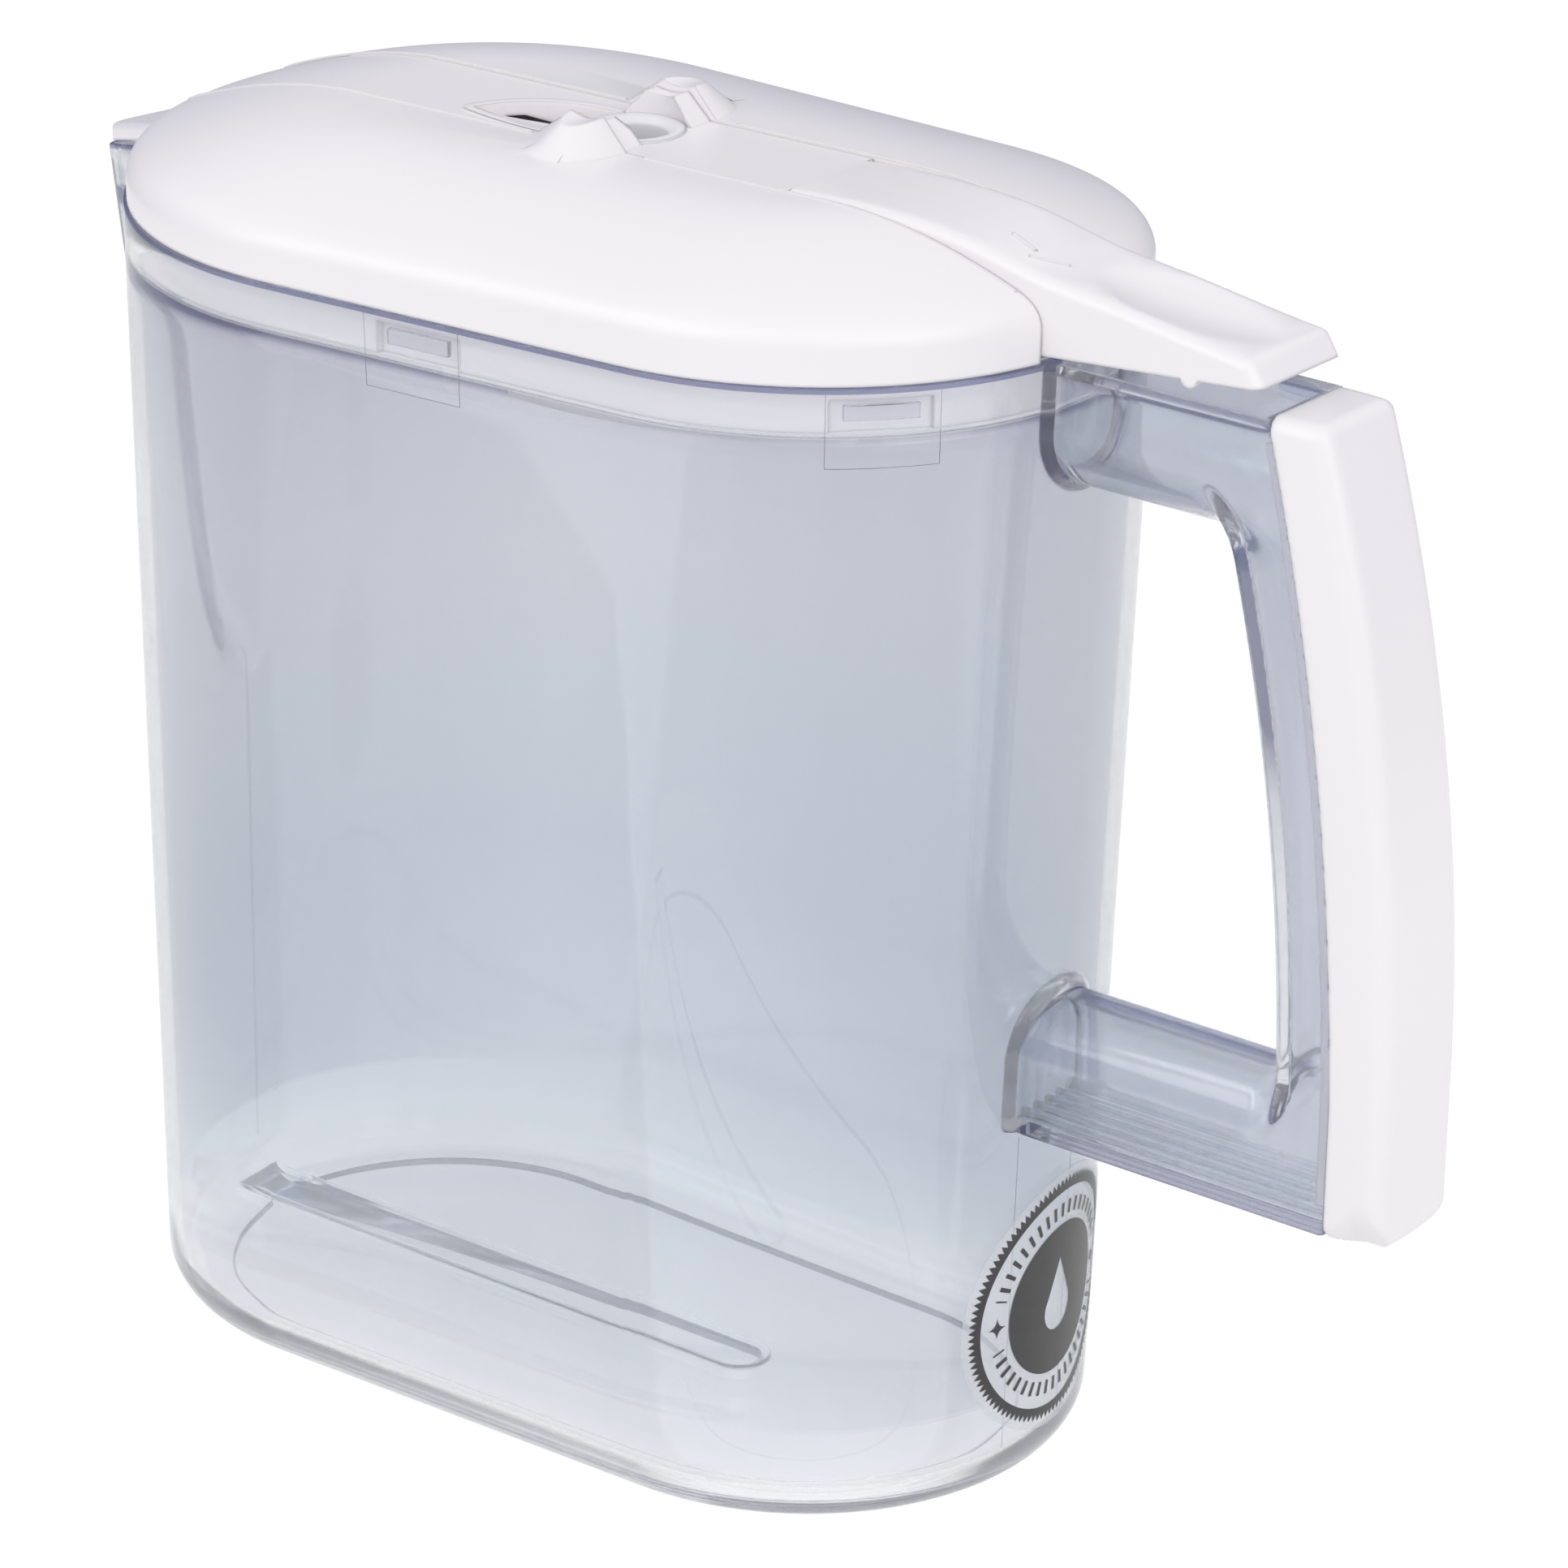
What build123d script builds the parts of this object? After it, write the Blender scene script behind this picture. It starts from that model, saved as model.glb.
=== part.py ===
from build123d import *

import os
from math import acos, atan2, cos, degrees, radians, sin, sqrt, tan

# The collecting jug of a countertop water distiller, at rest with its lid on.
# Origin at the centre of the base, +X towards the handle, +Z up, in millimetres.

os.makedirs("parts", exist_ok=True)

# Jug shell: the plan is two end circles and their common tangents
rim_height = 219.8
wall = 2.5
floor_thickness = 4.3
base_round = 9.0
rim_spout_x = -32.5
rim_spout_r = 65.3
rim_handle_x = 43.0
rim_handle_r = 60.0
base_spout_x = -42.0
base_spout_r = 54.0
base_handle_x = 44.5
base_handle_r = 52.5

# Foot, and the groove that guides the jug into the distiller
foot_width = 3.0
foot_depth = 1.8
groove_width = 8.6
groove_depth = 3.4
groove_end_x = 29.5
groove_wall = 1.6
groove_mouth_width = 17.0
groove_mouth_length = 10.0

# Spout
spout_reach = 27.2
spout_sunk = 2.8
spout_height = 104.8
spout_half_angle = 29.5
spout_nose_r = 5.0
spout_lip_slope = 0.32
spout_bulge = 0.5
spout_shares = (0.0, 0.04, 0.12, 0.3, 0.55, 0.8, 1.1)
spout_depth = 24.0
spout_side = 44.0

# Handle of the jug
handle_width = 23.0
handle_wall = 2.3
arm_height = 23.8
arm_corner_r = 11.4
lower_arm_z = 75.5
lower_arm_height = 24.5
grip_inner_top_x = 132.4
grip_inner_mid = (148.0, 158.0)
grip_inner_low = (153.4, 98.0)
seam_top_x = 146.5
seam_mid = (159.0, 162.0)
seam_low = (165.0, 100.0)
grip_edge_r = 2.5
rib_count = 5
rib_pitch = 3.4
rib_width = 1.3
rib_height = 1.1

# White cover on the handle
cover_gap = 0.1
cover_top_rise = 0.5
cover_top_depth = 10.7
cover_outer_mid = (171.1, 164.2)
cover_outer_low = (176.2, 100.0)
cover_bottom_r = 5.5
cover_width = 24.0
cover_outer_width = 21.4
cover_wall = 2.4
cover_edge_r = 2.4
cover_lip = 3.0
cover_lip_wall = 1.8
cover_lip_gap = 0.15

# Lid
lid_gap = 0.2
lid_spout_inset = 0.3
lid_handle_inset = 0.0
lid_centre_shift = 0.5
dome_height = 18.4
dome_edge = 8.2
dome_reach = 42.0
dome_power = 1.8
dome_insets = (4.7, 9.4, 16.0, 24.0, 32.0, 42.0)
dome_shoulder = ((0.0, 4.5), (0.4, 6.4), (1.8, 8.4))
dome_foot = 3.0
dome_tilt = 0.7
lid_wall = 2.2
flange_thickness = 2.0
skirt_depth = 8.8
skirt_wall = 2.4
skirt_gap = 0.35

# Channel in the lid for the pouring lever
lever_width = 25.0
lever_gap = 0.4
channel_wall = 2.2
channel_floor_rise = 1.2
channel_floor_thickness = 2.0
channel_end_x = 76.0
channel_low_drop = 2.7
slot_gap = 0.8

# Pouring lever
lever_sink = 0.3
lever_thickness = 2.6
lever_side_wall = 2.0
lever_side_rise = 7.0
lever_blend_x = 46.0
lever_rises = (
    (66.0, 19.6),
    (76.0, 19.1),
    (86.0, 17.8),
    (99.0, 15.0),
    (113.0, 13.2),
    (133.7, 10.2),
    (142.5, 9.1),
)
lever_tip_rise = (145.2, 4.8)
lever_rim_rise = (100.5, 1.2)
lever_heel_rise = (81.0, 2.0)
lever_ridge_r = 2.2
thumb_dish_rise = (121.0, 12.1)
thumb_dish_lean = 8.3
thumb_dish_long_r = 133.0
thumb_dish_r = 34.0
thumb_dish_depth = 1.4
tongue_clearance = 0.35
tongue_thickness = 3.3
tongue_inset = 1.6
tongue_root_inset = 9.8
tongue_dome_gap = 0.6
tongue_edge_r = 1.2
nub_x = 131.0
nub_r = 1.7
nub_gap = 2.4

# Hinge of the lever
hinge_x = 90.0
hinge_rise = 6.0
hinge_pin_r = 1.5
hinge_pin_length = 33.0
hinge_pin_play = 0.06
hinge_pin_seat = 0.02
hinge_boss_r = 3.8
hinge_boss_length = 4.1

# Ramps around the inlet, half on the lid and half on the lever
inlet_x = 2.5
ramp_foot_r = 13.0
ramp_top_r = 5.6
ramp_height = 7.0
ramp_sunk = 1.0
ramp_scoop_r = 13.0
ramp_scoop_depth = 1.3
ramp_inner_y = 6.9
ramp_inner_foot = (-6.5, 12.0)
ramp_inner_top = (-0.5, 7.6)
ramp_inner_drop = 1.0
ramp_well_r = 9.6

# Inlet insert in the lever
inlet_flange_r = 8.9
inlet_sleeve_r = 7.4
inlet_hole_r = 6.0
inlet_seat_gap = 0.05
inlet_flange_thickness = 1.2
inlet_flange_proud = 0.5
inlet_sleeve_length = 6.0

# Pouring scoop in the lever, left of the inlet
scoop_tip = (-28.5, -7.5)
scoop_far = (-19.5, 3.9)
scoop_end = (-6.0, 6.2)
scoop_near = (-18.0, -9.4)
scoop_near_y = -9.6
scoop_slope = 24.0
scoop_wall = 1.8
scoop_slot_height = 1.9
scoop_slot_y = -2.0

# Latches between jug and lid
latch_side_x = 4.0
latch_end_angle = 41.0
latch_width = 13.0
latch_height = 3.5
latch_out = 1.0
latch_drop = 7.2
latch_window_width = 17.6
latch_window_depth = 1.3
latch_window_drop = 3.0

# Filter cup under the lid, with its cap, seal and carbon
cup_r = 20.4
cup_wall = 1.8
cup_height = 20.9
cup_ledge_drop = 3.4
cup_ledge_width = 1.2
collar_wall = 2.0
collar_gap = 0.05
collar_thickness = 1.7
collar_depth = 7.0
seal_thickness = 1.6
seal_width = 3.2
cap_thickness = 1.6
cap_play = 0.15
drain_hole_r = 1.3
drain_ring_r = (5.0, 10.0, 14.5)
drain_ring_count = 8
floor_inlet_r = 8.0
carbon_gap = 0.2
carbon_edge_r = 2.0

# Round label on the handle end of the jug
label_y = 2.0
label_z = 36.0
label_r = 25.4
label_gap = 0.05
label_thickness = 0.2

# Sizes that follow from the driving ones
lid_z = rim_height + lid_gap
lid_spout_x = rim_spout_x + lid_centre_shift
lid_spout_r = rim_spout_r - lid_spout_inset
lid_handle_x = rim_handle_x - lid_centre_shift
lid_handle_r = rim_handle_r - lid_handle_inset
channel_floor_z = lid_z + channel_floor_rise
channel_low_z = lid_z - channel_low_drop
lever_side_z = lid_z + lever_side_rise
lever_ridge = [(x, lid_z + rise) for x, rise in lever_rises]
lever_tip_foot = (lever_tip_rise[0], lid_z + lever_tip_rise[1])
lever_rim_foot = (lever_rim_rise[0], lid_z + lever_rim_rise[1])
lever_heel = (lever_heel_rise[0], lid_z + lever_heel_rise[1])
thumb_dish = (thumb_dish_rise[0], lid_z + thumb_dish_rise[1])
nub_low_z = rim_height + nub_gap
hinge_z = lid_z + hinge_rise
latch_z = rim_height - latch_drop
latch_window_top = lid_z - latch_window_drop
spout_foot_z = rim_height - spout_height
skirt_z = lid_z - skirt_depth
rim_spout_end = rim_spout_x - rim_spout_r
rim_handle_end = rim_handle_x + rim_handle_r
tongue_root_x = rim_spout_end + tongue_root_inset
slot_half = lever_width / 2 + lever_gap
floor_top_z = channel_floor_z + channel_floor_thickness
dome_axis = Axis((lid_spout_x, 0, lid_z), (0, -1, 0))
collar_z = channel_floor_z - collar_thickness
cup_top_z = collar_z - seal_thickness
cup_ledge_z = cup_top_z - cup_ledge_drop
cup_foot_z = cup_top_z - cup_height
dome_top_z = lid_z + dome_height + (inlet_x - lid_spout_x) * tan(radians(dome_tilt))
inlet_seat_z = dome_top_z - lever_sink + inlet_flange_proud - inlet_flange_thickness
inlet_axis = Axis((inlet_x, 0, 0), (0, 0, 1))
ramp_taper = degrees(atan2(ramp_foot_r - ramp_top_r, ramp_height))
far = 400.0


def jug_plan(height, offset):
    """End circles of the jug's plan at a height, moved outwards by offset."""
    share = height / rim_height
    spout_x = base_spout_x + (rim_spout_x - base_spout_x) * share
    spout_r = base_spout_r + (rim_spout_r - base_spout_r) * share
    handle_x = base_handle_x + (rim_handle_x - base_handle_x) * share
    handle_r = base_handle_r + (rim_handle_r - base_handle_r) * share
    return spout_x, spout_r + offset, handle_x, handle_r + offset


def lid_plan(inset):
    """End circles of the lid's plan, moved inwards by inset."""
    return lid_spout_x, lid_spout_r - inset, lid_handle_x, lid_handle_r - inset


def touch_angle(left_x, left_r, right_x, right_r):
    """Angle of the normal of the tangent that two end circles share."""
    return degrees(acos((left_r - right_r) / (right_x - left_x)))


def plan_face(height, ends):
    """Face at a height: two end arcs and the straight sides that touch both."""
    left_x, left_r, right_x, right_r = ends
    touch = touch_angle(left_x, left_r, right_x, right_r)
    with BuildSketch(Plane.XY.offset(height)) as plan:
        with BuildLine():
            left = CenterArc((left_x, 0), left_r, touch, 360 - 2 * touch)
            right = CenterArc((right_x, 0), right_r, -touch, 2 * touch)
            Line(right @ 1, left @ 0)
            Line(left @ 1, right @ 0)
        make_face()
    return plan.sketch


def dome_profile(shrink, depth):
    """Section of the dome from its edge inwards, moved inwards by shrink."""
    slope = dome_height - dome_edge
    upper = [(i, dome_height - slope * (1 - i / dome_reach) ** dome_power) for i in dome_insets]
    squeeze = (dome_height - shrink) / dome_height
    steps = [(inset, rise * squeeze) for inset, rise in dome_shoulder + tuple(upper)]
    with BuildSketch() as profile:
        with BuildLine():
            shoulder = Spline(*steps)
            Polyline(shoulder @ 1, (depth, steps[-1][1]), (depth, -dome_foot), (0, -dome_foot), shoulder @ 0)
        make_face()
    return profile.sketch


def dome_solid(shrink):
    """The lid's dome: two turned ends and two straight sides, foot left long."""
    left_x, left_r, right_x, right_r = lid_plan(shrink)
    touch = touch_angle(left_x, left_r, right_x, right_r)
    side_length = sqrt((right_x - left_x) ** 2 - (left_r - right_r) ** 2)
    with BuildPart() as dome:
        ends = ((right_x, right_r, -touch, touch), (left_x, left_r, touch, 360 - touch))
        for center_x, radius, start, end in ends:
            with BuildSketch(edge_plane(center_x, radius, start)):
                add(dome_profile(shrink, radius))
            revolve(axis=Axis((center_x, 0, 0), (0, 0, 1)), revolution_arc=end - start)
        for center_x, radius, angle in ((right_x, right_r, touch), (left_x, left_r, -touch)):
            with BuildSketch(edge_plane(center_x, radius, angle)):
                add(dome_profile(shrink, left_r))
            extrude(amount=side_length)
    return dome.part.rotate(dome_axis, dome_tilt)


def edge_plane(center_x, radius, angle):
    """Upright plane through the lid's edge, facing along it, with X inwards."""
    out = (cos(radians(angle)), sin(radians(angle)), 0)
    return Plane(
        origin=(center_x + radius * out[0], radius * out[1], lid_z),
        x_dir=(-out[0], -out[1], 0),
        z_dir=(-out[1], out[0], 0),
    )


def jug_sections(low, high, offset):
    """Faces of the jug's tapered plan at two heights."""
    return [plan_face(height, jug_plan(height, offset)) for height in (low, high)]


def spout_ridge(share, inset):
    """Where the spout's two sides would meet, at a share of its height."""
    height = spout_foot_z + (rim_height - spout_foot_z) * share
    nose_x = rim_spout_end + spout_sunk - (spout_reach + spout_sunk) * share**spout_bulge
    sharpness = 1 / sin(radians(spout_half_angle))
    return nose_x - spout_nose_r * (sharpness - 1) + inset * sharpness, height


def spout_wedge(inset):
    """The spout as a V with a curved, rounded nose, moved inwards by inset."""
    ridge = [spout_ridge(share, inset) for share in spout_shares]
    root_x = rim_spout_end + spout_depth
    half = radians(spout_half_angle)
    with BuildSketch(Plane.XZ) as profile:
        with BuildLine():
            nose = Spline(*ridge)
            Polyline(nose @ 1, (root_x, ridge[-1][1]), (root_x, ridge[0][1]), nose @ 0)
        make_face()
    with BuildPart() as wedge:
        extrude(profile.sketch, amount=spout_side, dir=(cos(half), sin(half), 0))
        extrude(profile.sketch, amount=spout_side, dir=(cos(half), -sin(half), 0))
        fillet(edges().filter_by(GeomType.BSPLINE).sort_by(Axis.X)[0], spout_nose_r - inset)
        with BuildSketch(Plane.XY):
            Rectangle(far, far)
        extrude(amount=rim_height, mode=Mode.INTERSECT)
    return wedge.part


def spout_plan(inset):
    """Plan of the spout at the rim, moved inwards by inset."""
    tip_x = spout_ridge(1, inset)[0]
    spread = spout_side * sin(radians(spout_half_angle))
    root_x = tip_x + spout_side * cos(radians(spout_half_angle))
    with BuildSketch() as plan:
        with BuildLine():
            Polyline((root_x, spread), (tip_x, 0), (root_x, -spread), close=True)
        make_face()
        fillet(vertices().sort_by(Axis.X)[0], spout_nose_r - inset)
    return plan.sketch


def spout_rise(x):
    """Height of the spout's sloping lip above the rim; negative outside the rim."""
    return (x - rim_spout_end) * spout_lip_slope


def tongue_share(point):
    """How far up the tongue a point lies, from its underside to its top."""
    return (point.Z - rim_height - spout_rise(point.X)) / tongue_thickness


def arm_face(bottom, height, width, corner, rounded_top):
    """Section of a handle arm, flat on one side and round on the other."""
    with BuildSketch(Plane.YZ.offset(rim_handle_x)) as section:
        with BuildLine():
            Polyline(
                (-width / 2, bottom),
                (width / 2, bottom),
                (width / 2, bottom + height),
                (-width / 2, bottom + height),
                close=True,
            )
        make_face()
        ends = vertices().group_by(Axis.Y)
        fillet(ends[-1] if rounded_top else ends[0], corner)
    return section.sketch


def seam_arc(shift, rise):
    """Seam between handle and cover, from its foot up, moved out by shift."""
    return ThreePointArc(
        (seam_low[0] + shift, seam_low[1]),
        (seam_mid[0] + shift, seam_mid[1]),
        (seam_top_x + shift, rim_height + rise),
    )


def latch_planes(side_r_offset, height):
    """Planes on the jug's wall at the four latches, facing outwards."""
    spout_x, spout_r, handle_x, handle_r = jug_plan(height, side_r_offset)
    touch = radians(touch_angle(spout_x, spout_r, handle_x, handle_r))
    along = (latch_side_x - spout_x - spout_r * cos(touch)) / sin(touch)
    side = (latch_side_x, spout_r * sin(touch) - along * cos(touch), degrees(touch))
    turn = radians(latch_end_angle)
    end = (handle_x + handle_r * cos(turn), handle_r * sin(turn), latch_end_angle)
    planes = []
    for x, y, angle in (side, end):
        for flip in (1, -1):
            out = (cos(radians(angle)), flip * sin(radians(angle)), 0)
            planes.append(Plane(origin=(x, flip * y, height), x_dir=(-out[1], out[0], 0), z_dir=out))
    return planes


# Outside of the jug: tapered body, round bottom edge and spout
with BuildPart() as jug_outside:
    loft(jug_sections(0, rim_height, 0))
    fillet(faces().sort_by(Axis.Z)[0].edges(), base_round)
    add(spout_wedge(0))

# Inside of the jug, from floor to rim
with BuildPart() as jug_inside:
    loft(jug_sections(floor_thickness, rim_height, -wall))
    fillet(faces().sort_by(Axis.Z)[0].edges(), base_round - wall)
    add(spout_wedge(wall))

# Hollow of the handle: both arms and the upright, open towards the cover
with BuildPart() as handle_hollow:
    inner_width = handle_width - 2 * handle_wall
    inner_corner_r = arm_corner_r - handle_wall
    upper_bore = arm_face(
        rim_height - arm_height + handle_wall, arm_height - 2 * handle_wall, inner_width, inner_corner_r, False
    )
    lower_bore = arm_face(
        lower_arm_z + handle_wall, lower_arm_height - 2 * handle_wall, inner_width, inner_corner_r, True
    )
    extrude(upper_bore, amount=seam_top_x - rim_handle_x)
    extrude(lower_bore, amount=seam_low[0] - rim_handle_x)
    with BuildSketch(Plane.XZ):
        with BuildLine():
            back = ThreePointArc(
                (grip_inner_top_x + handle_wall, rim_height - handle_wall),
                (grip_inner_mid[0] + handle_wall, grip_inner_mid[1]),
                (grip_inner_low[0] + handle_wall, grip_inner_low[1]),
            )
            Polyline(
                back @ 1,
                (grip_inner_low[0] + handle_wall, lower_arm_z + handle_wall),
                (cover_outer_low[0], lower_arm_z + handle_wall),
                (cover_outer_low[0], rim_height - handle_wall),
                back @ 0,
            )
        make_face()
    extrude(amount=handle_width / 2 - handle_wall, both=True)
    add(jug_outside.part, mode=Mode.SUBTRACT)

# Upright of the handle, with rounded inner edges
with BuildPart() as handle_upright:
    with BuildSketch(Plane.XZ):
        with BuildLine():
            back = ThreePointArc((grip_inner_top_x, rim_height), grip_inner_mid, grip_inner_low)
            Line(back @ 1, (grip_inner_low[0], lower_arm_z))
            Line((grip_inner_low[0], lower_arm_z), (seam_low[0], lower_arm_z))
            Line((seam_low[0], lower_arm_z), seam_low)
            seam = seam_arc(0, 0)
            Line(seam @ 1, back @ 0)
        make_face()
    extrude(amount=handle_width / 2, both=True)
    inner_face = faces().filter_by(GeomType.CYLINDER).sort_by(Axis.X)[0]
    fillet(inner_face.edges().filter_by(GeomType.CIRCLE), grip_edge_r)

# Groove under the base: straight, round at its end, and flared where it starts
with BuildPart() as guide_groove:
    with BuildSketch():
        with BuildLine():
            half = groove_width / 2
            mouth_x = rim_spout_end + groove_mouth_length
            nose = ThreePointArc((groove_end_x, half), (groove_end_x + half, 0), (groove_end_x, -half))
            Polyline(
                nose @ 1,
                (mouth_x, -half),
                (rim_spout_end, -groove_mouth_width / 2),
                (rim_spout_end, groove_mouth_width / 2),
                (mouth_x, half),
                nose @ 0,
            )
        make_face()
    extrude(amount=groove_depth)

# Raised rib that the groove makes on the inside of the floor
with BuildPart() as guide_rib:
    with BuildSketch():
        with BuildLine():
            half = groove_width / 2 + groove_wall
            nose = ThreePointArc((groove_end_x, half), (groove_end_x + half, 0), (groove_end_x, -half))
            Polyline(nose @ 1, (rim_spout_end, -half), (rim_spout_end, half), nose @ 0)
        make_face()
    extrude(amount=groove_depth + groove_wall)
    add(jug_outside.part, mode=Mode.INTERSECT)

# Jug body: one clear moulding with spout, floor and hollow handle
with BuildPart() as jug_body:
    add(jug_outside.part)
    upper_arm = arm_face(rim_height - arm_height, arm_height, handle_width, arm_corner_r, False)
    lower_arm = arm_face(lower_arm_z, lower_arm_height, handle_width, arm_corner_r, True)
    extrude(upper_arm, amount=(grip_inner_top_x + seam_top_x) / 2 - rim_handle_x)
    extrude(lower_arm, amount=(grip_inner_low[0] + seam_low[0]) / 2 - rim_handle_x)
    add(handle_upright.part)
    add(handle_hollow.part, mode=Mode.SUBTRACT)
    with BuildSketch(Plane.YZ.offset(rim_handle_x)):
        with Locations((0, lower_arm_z + handle_wall)):
            with GridLocations(rib_pitch, 1, rib_count, 1):
                Rectangle(rib_width, rib_height, align=(Align.CENTER, Align.MIN))
    extrude(amount=seam_low[0] - handle_wall - rim_handle_x)
    add(jug_inside.part, mode=Mode.SUBTRACT)
    add(guide_rib.part)
    extrude(plan_face(0, jug_plan(0, -base_round - foot_width)), amount=foot_depth, mode=Mode.SUBTRACT)
    add(guide_groove.part, mode=Mode.SUBTRACT)
    with BuildSketch(Plane.XZ):
        with BuildLine():
            Polyline(
                (rim_spout_end, rim_height),
                (rim_spout_end - 2 * spout_reach, rim_height - 2 * spout_reach * spout_lip_slope),
                (rim_spout_end - 2 * spout_reach, rim_height + wall),
                (rim_spout_end, rim_height + wall),
                close=True,
            )
        make_face()
    extrude(amount=rim_spout_r, both=True, mode=Mode.SUBTRACT)
    for latch_plane in latch_planes(-wall, latch_z):
        with BuildSketch(latch_plane):
            Rectangle(latch_width, latch_height)
        extrude(amount=latch_out, both=True)

jug_body.part.label = "jug_body"
export_step(jug_body.part, "parts/jug_body.step")

# Inside of the white cover, open towards the handle
with BuildPart() as cover_hollow:
    with BuildSketch(Plane.XZ):
        with BuildLine():
            skin = ThreePointArc(
                (seam_top_x + cover_top_depth - cover_wall, rim_height - handle_wall),
                (cover_outer_mid[0] - cover_wall, cover_outer_mid[1]),
                (cover_outer_low[0] - cover_wall, cover_outer_low[1]),
            )
            Polyline(
                skin @ 1,
                (cover_outer_low[0] - cover_wall, lower_arm_z + cover_bottom_r),
                (cover_outer_low[0] - cover_bottom_r, lower_arm_z + handle_wall),
                (grip_inner_top_x, lower_arm_z + handle_wall),
                (grip_inner_top_x, rim_height - handle_wall),
                skin @ 0,
            )
        make_face()
    extrude(amount=cover_outer_width / 2 - cover_wall, both=True)

# Two lips of the cover that snap inside the walls of the handle
with BuildPart() as cover_lips:
    lip_half = handle_width / 2 - handle_wall - cover_lip_gap
    with BuildSketch(Plane.XZ):
        with BuildLine():
            inner = seam_arc(-cover_lip, 0)
            outer = seam_arc(cover_lip, 0)
            Line(inner @ 1, outer @ 1)
            Line(inner @ 0, (seam_low[0] - cover_lip, lower_arm_z))
            Line((seam_low[0] - cover_lip, lower_arm_z), (seam_low[0] + cover_lip, lower_arm_z))
            Line((seam_low[0] + cover_lip, lower_arm_z), outer @ 0)
        make_face()
    extrude(amount=lip_half, both=True)
    with BuildSketch(Plane.XY.offset(lower_arm_z + 2 * handle_wall)):
        Rectangle(far, 2 * lip_half)
    extrude(amount=rim_height - lower_arm_z - 4 * handle_wall, mode=Mode.INTERSECT)
    with BuildSketch(Plane.XY):
        Rectangle(far, 2 * (lip_half - cover_lip_wall))
    extrude(amount=rim_height, mode=Mode.SUBTRACT)

# Grip cover: white shell that closes the handle's outer side
with BuildPart() as grip_cover:
    with BuildSketch(Plane.XZ):
        with BuildLine():
            seam = seam_arc(cover_gap, cover_top_rise)
            skin = ThreePointArc(
                (seam_top_x + cover_top_depth, rim_height + cover_top_rise),
                cover_outer_mid,
                cover_outer_low,
            )
            Line(seam @ 1, skin @ 0)
            Line(skin @ 1, (cover_outer_low[0], lower_arm_z))
            Line((cover_outer_low[0], lower_arm_z), (seam_low[0] + cover_gap, lower_arm_z))
            Line((seam_low[0] + cover_gap, lower_arm_z), seam @ 0)
        make_face()
        fillet(vertices().group_by(Axis.Y)[0].sort_by(Axis.X)[-1], cover_bottom_r)
    extrude(amount=cover_width / 2, both=True)
    seam_foot = Plane(
        origin=(seam_low[0], 0, lower_arm_z),
        x_dir=(1, 0, 0),
        z_dir=(seam_top_x - seam_low[0], 0, rim_height - lower_arm_z),
    )
    with BuildSketch(seam_foot):
        with BuildLine():
            Polyline(
                (-cover_top_depth, -cover_width / 2),
                (cover_top_depth, -cover_outer_width / 2),
                (2 * cover_top_depth, -cover_outer_width / 2),
                (2 * cover_top_depth, cover_outer_width / 2),
                (cover_top_depth, cover_outer_width / 2),
                (-cover_top_depth, cover_width / 2),
                close=True,
            )
        make_face()
    extrude(amount=far, both=True, mode=Mode.INTERSECT)
    add(cover_hollow.part, mode=Mode.SUBTRACT)
    add(cover_lips.part)

grip_cover.part.label = "grip_cover"
export_step(grip_cover.part, "parts/grip_cover.step")

# Outside of the lid's dome, and the hollow under it, which is left long
with BuildPart() as dome_outside:
    add(dome_solid(0))
    with BuildSketch(Plane.XY.offset(lid_z)):
        Rectangle(far, far)
    extrude(amount=far, mode=Mode.INTERSECT)
dome_inside = dome_solid(lid_wall)

# Everything inside the lid's skirt
with BuildPart() as skirt_inside:
    loft(jug_sections(skirt_z, lid_z + flange_thickness, -wall - skirt_gap - skirt_wall))

# Walls and floor of the channel, cut to the dome's outside
with BuildPart() as channel:
    with BuildSketch(Plane.XY.offset(lid_z)):
        with GridLocations(1, 2 * slot_half + channel_wall, 1, 2):
            Rectangle(far, channel_wall)
    extrude(amount=dome_height)
    with BuildSketch(Plane.XY.offset(channel_floor_z)):
        Rectangle(2 * channel_end_x, 2 * slot_half + channel_wall)
    extrude(amount=channel_floor_thickness)
    add(dome_outside.part, mode=Mode.INTERSECT)

# Lower end of the channel under the hinge, with the step down to it
with BuildPart() as channel_step:
    with BuildSketch(Plane.XY.offset(channel_low_z)):
        with Locations((channel_end_x, 0)):
            Rectangle(far, 2 * slot_half + 2 * channel_wall, align=(Align.MIN, Align.CENTER))
    extrude(amount=lid_z + lid_wall - channel_low_z)
    with BuildSketch(Plane.XY.offset(channel_low_z + channel_floor_thickness)):
        with Locations((channel_end_x + channel_wall, 0)):
            Rectangle(far, 2 * slot_half, align=(Align.MIN, Align.CENTER))
    extrude(amount=lid_z + lid_wall - channel_low_z, mode=Mode.SUBTRACT)
    add(skirt_inside.part, mode=Mode.INTERSECT)

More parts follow.
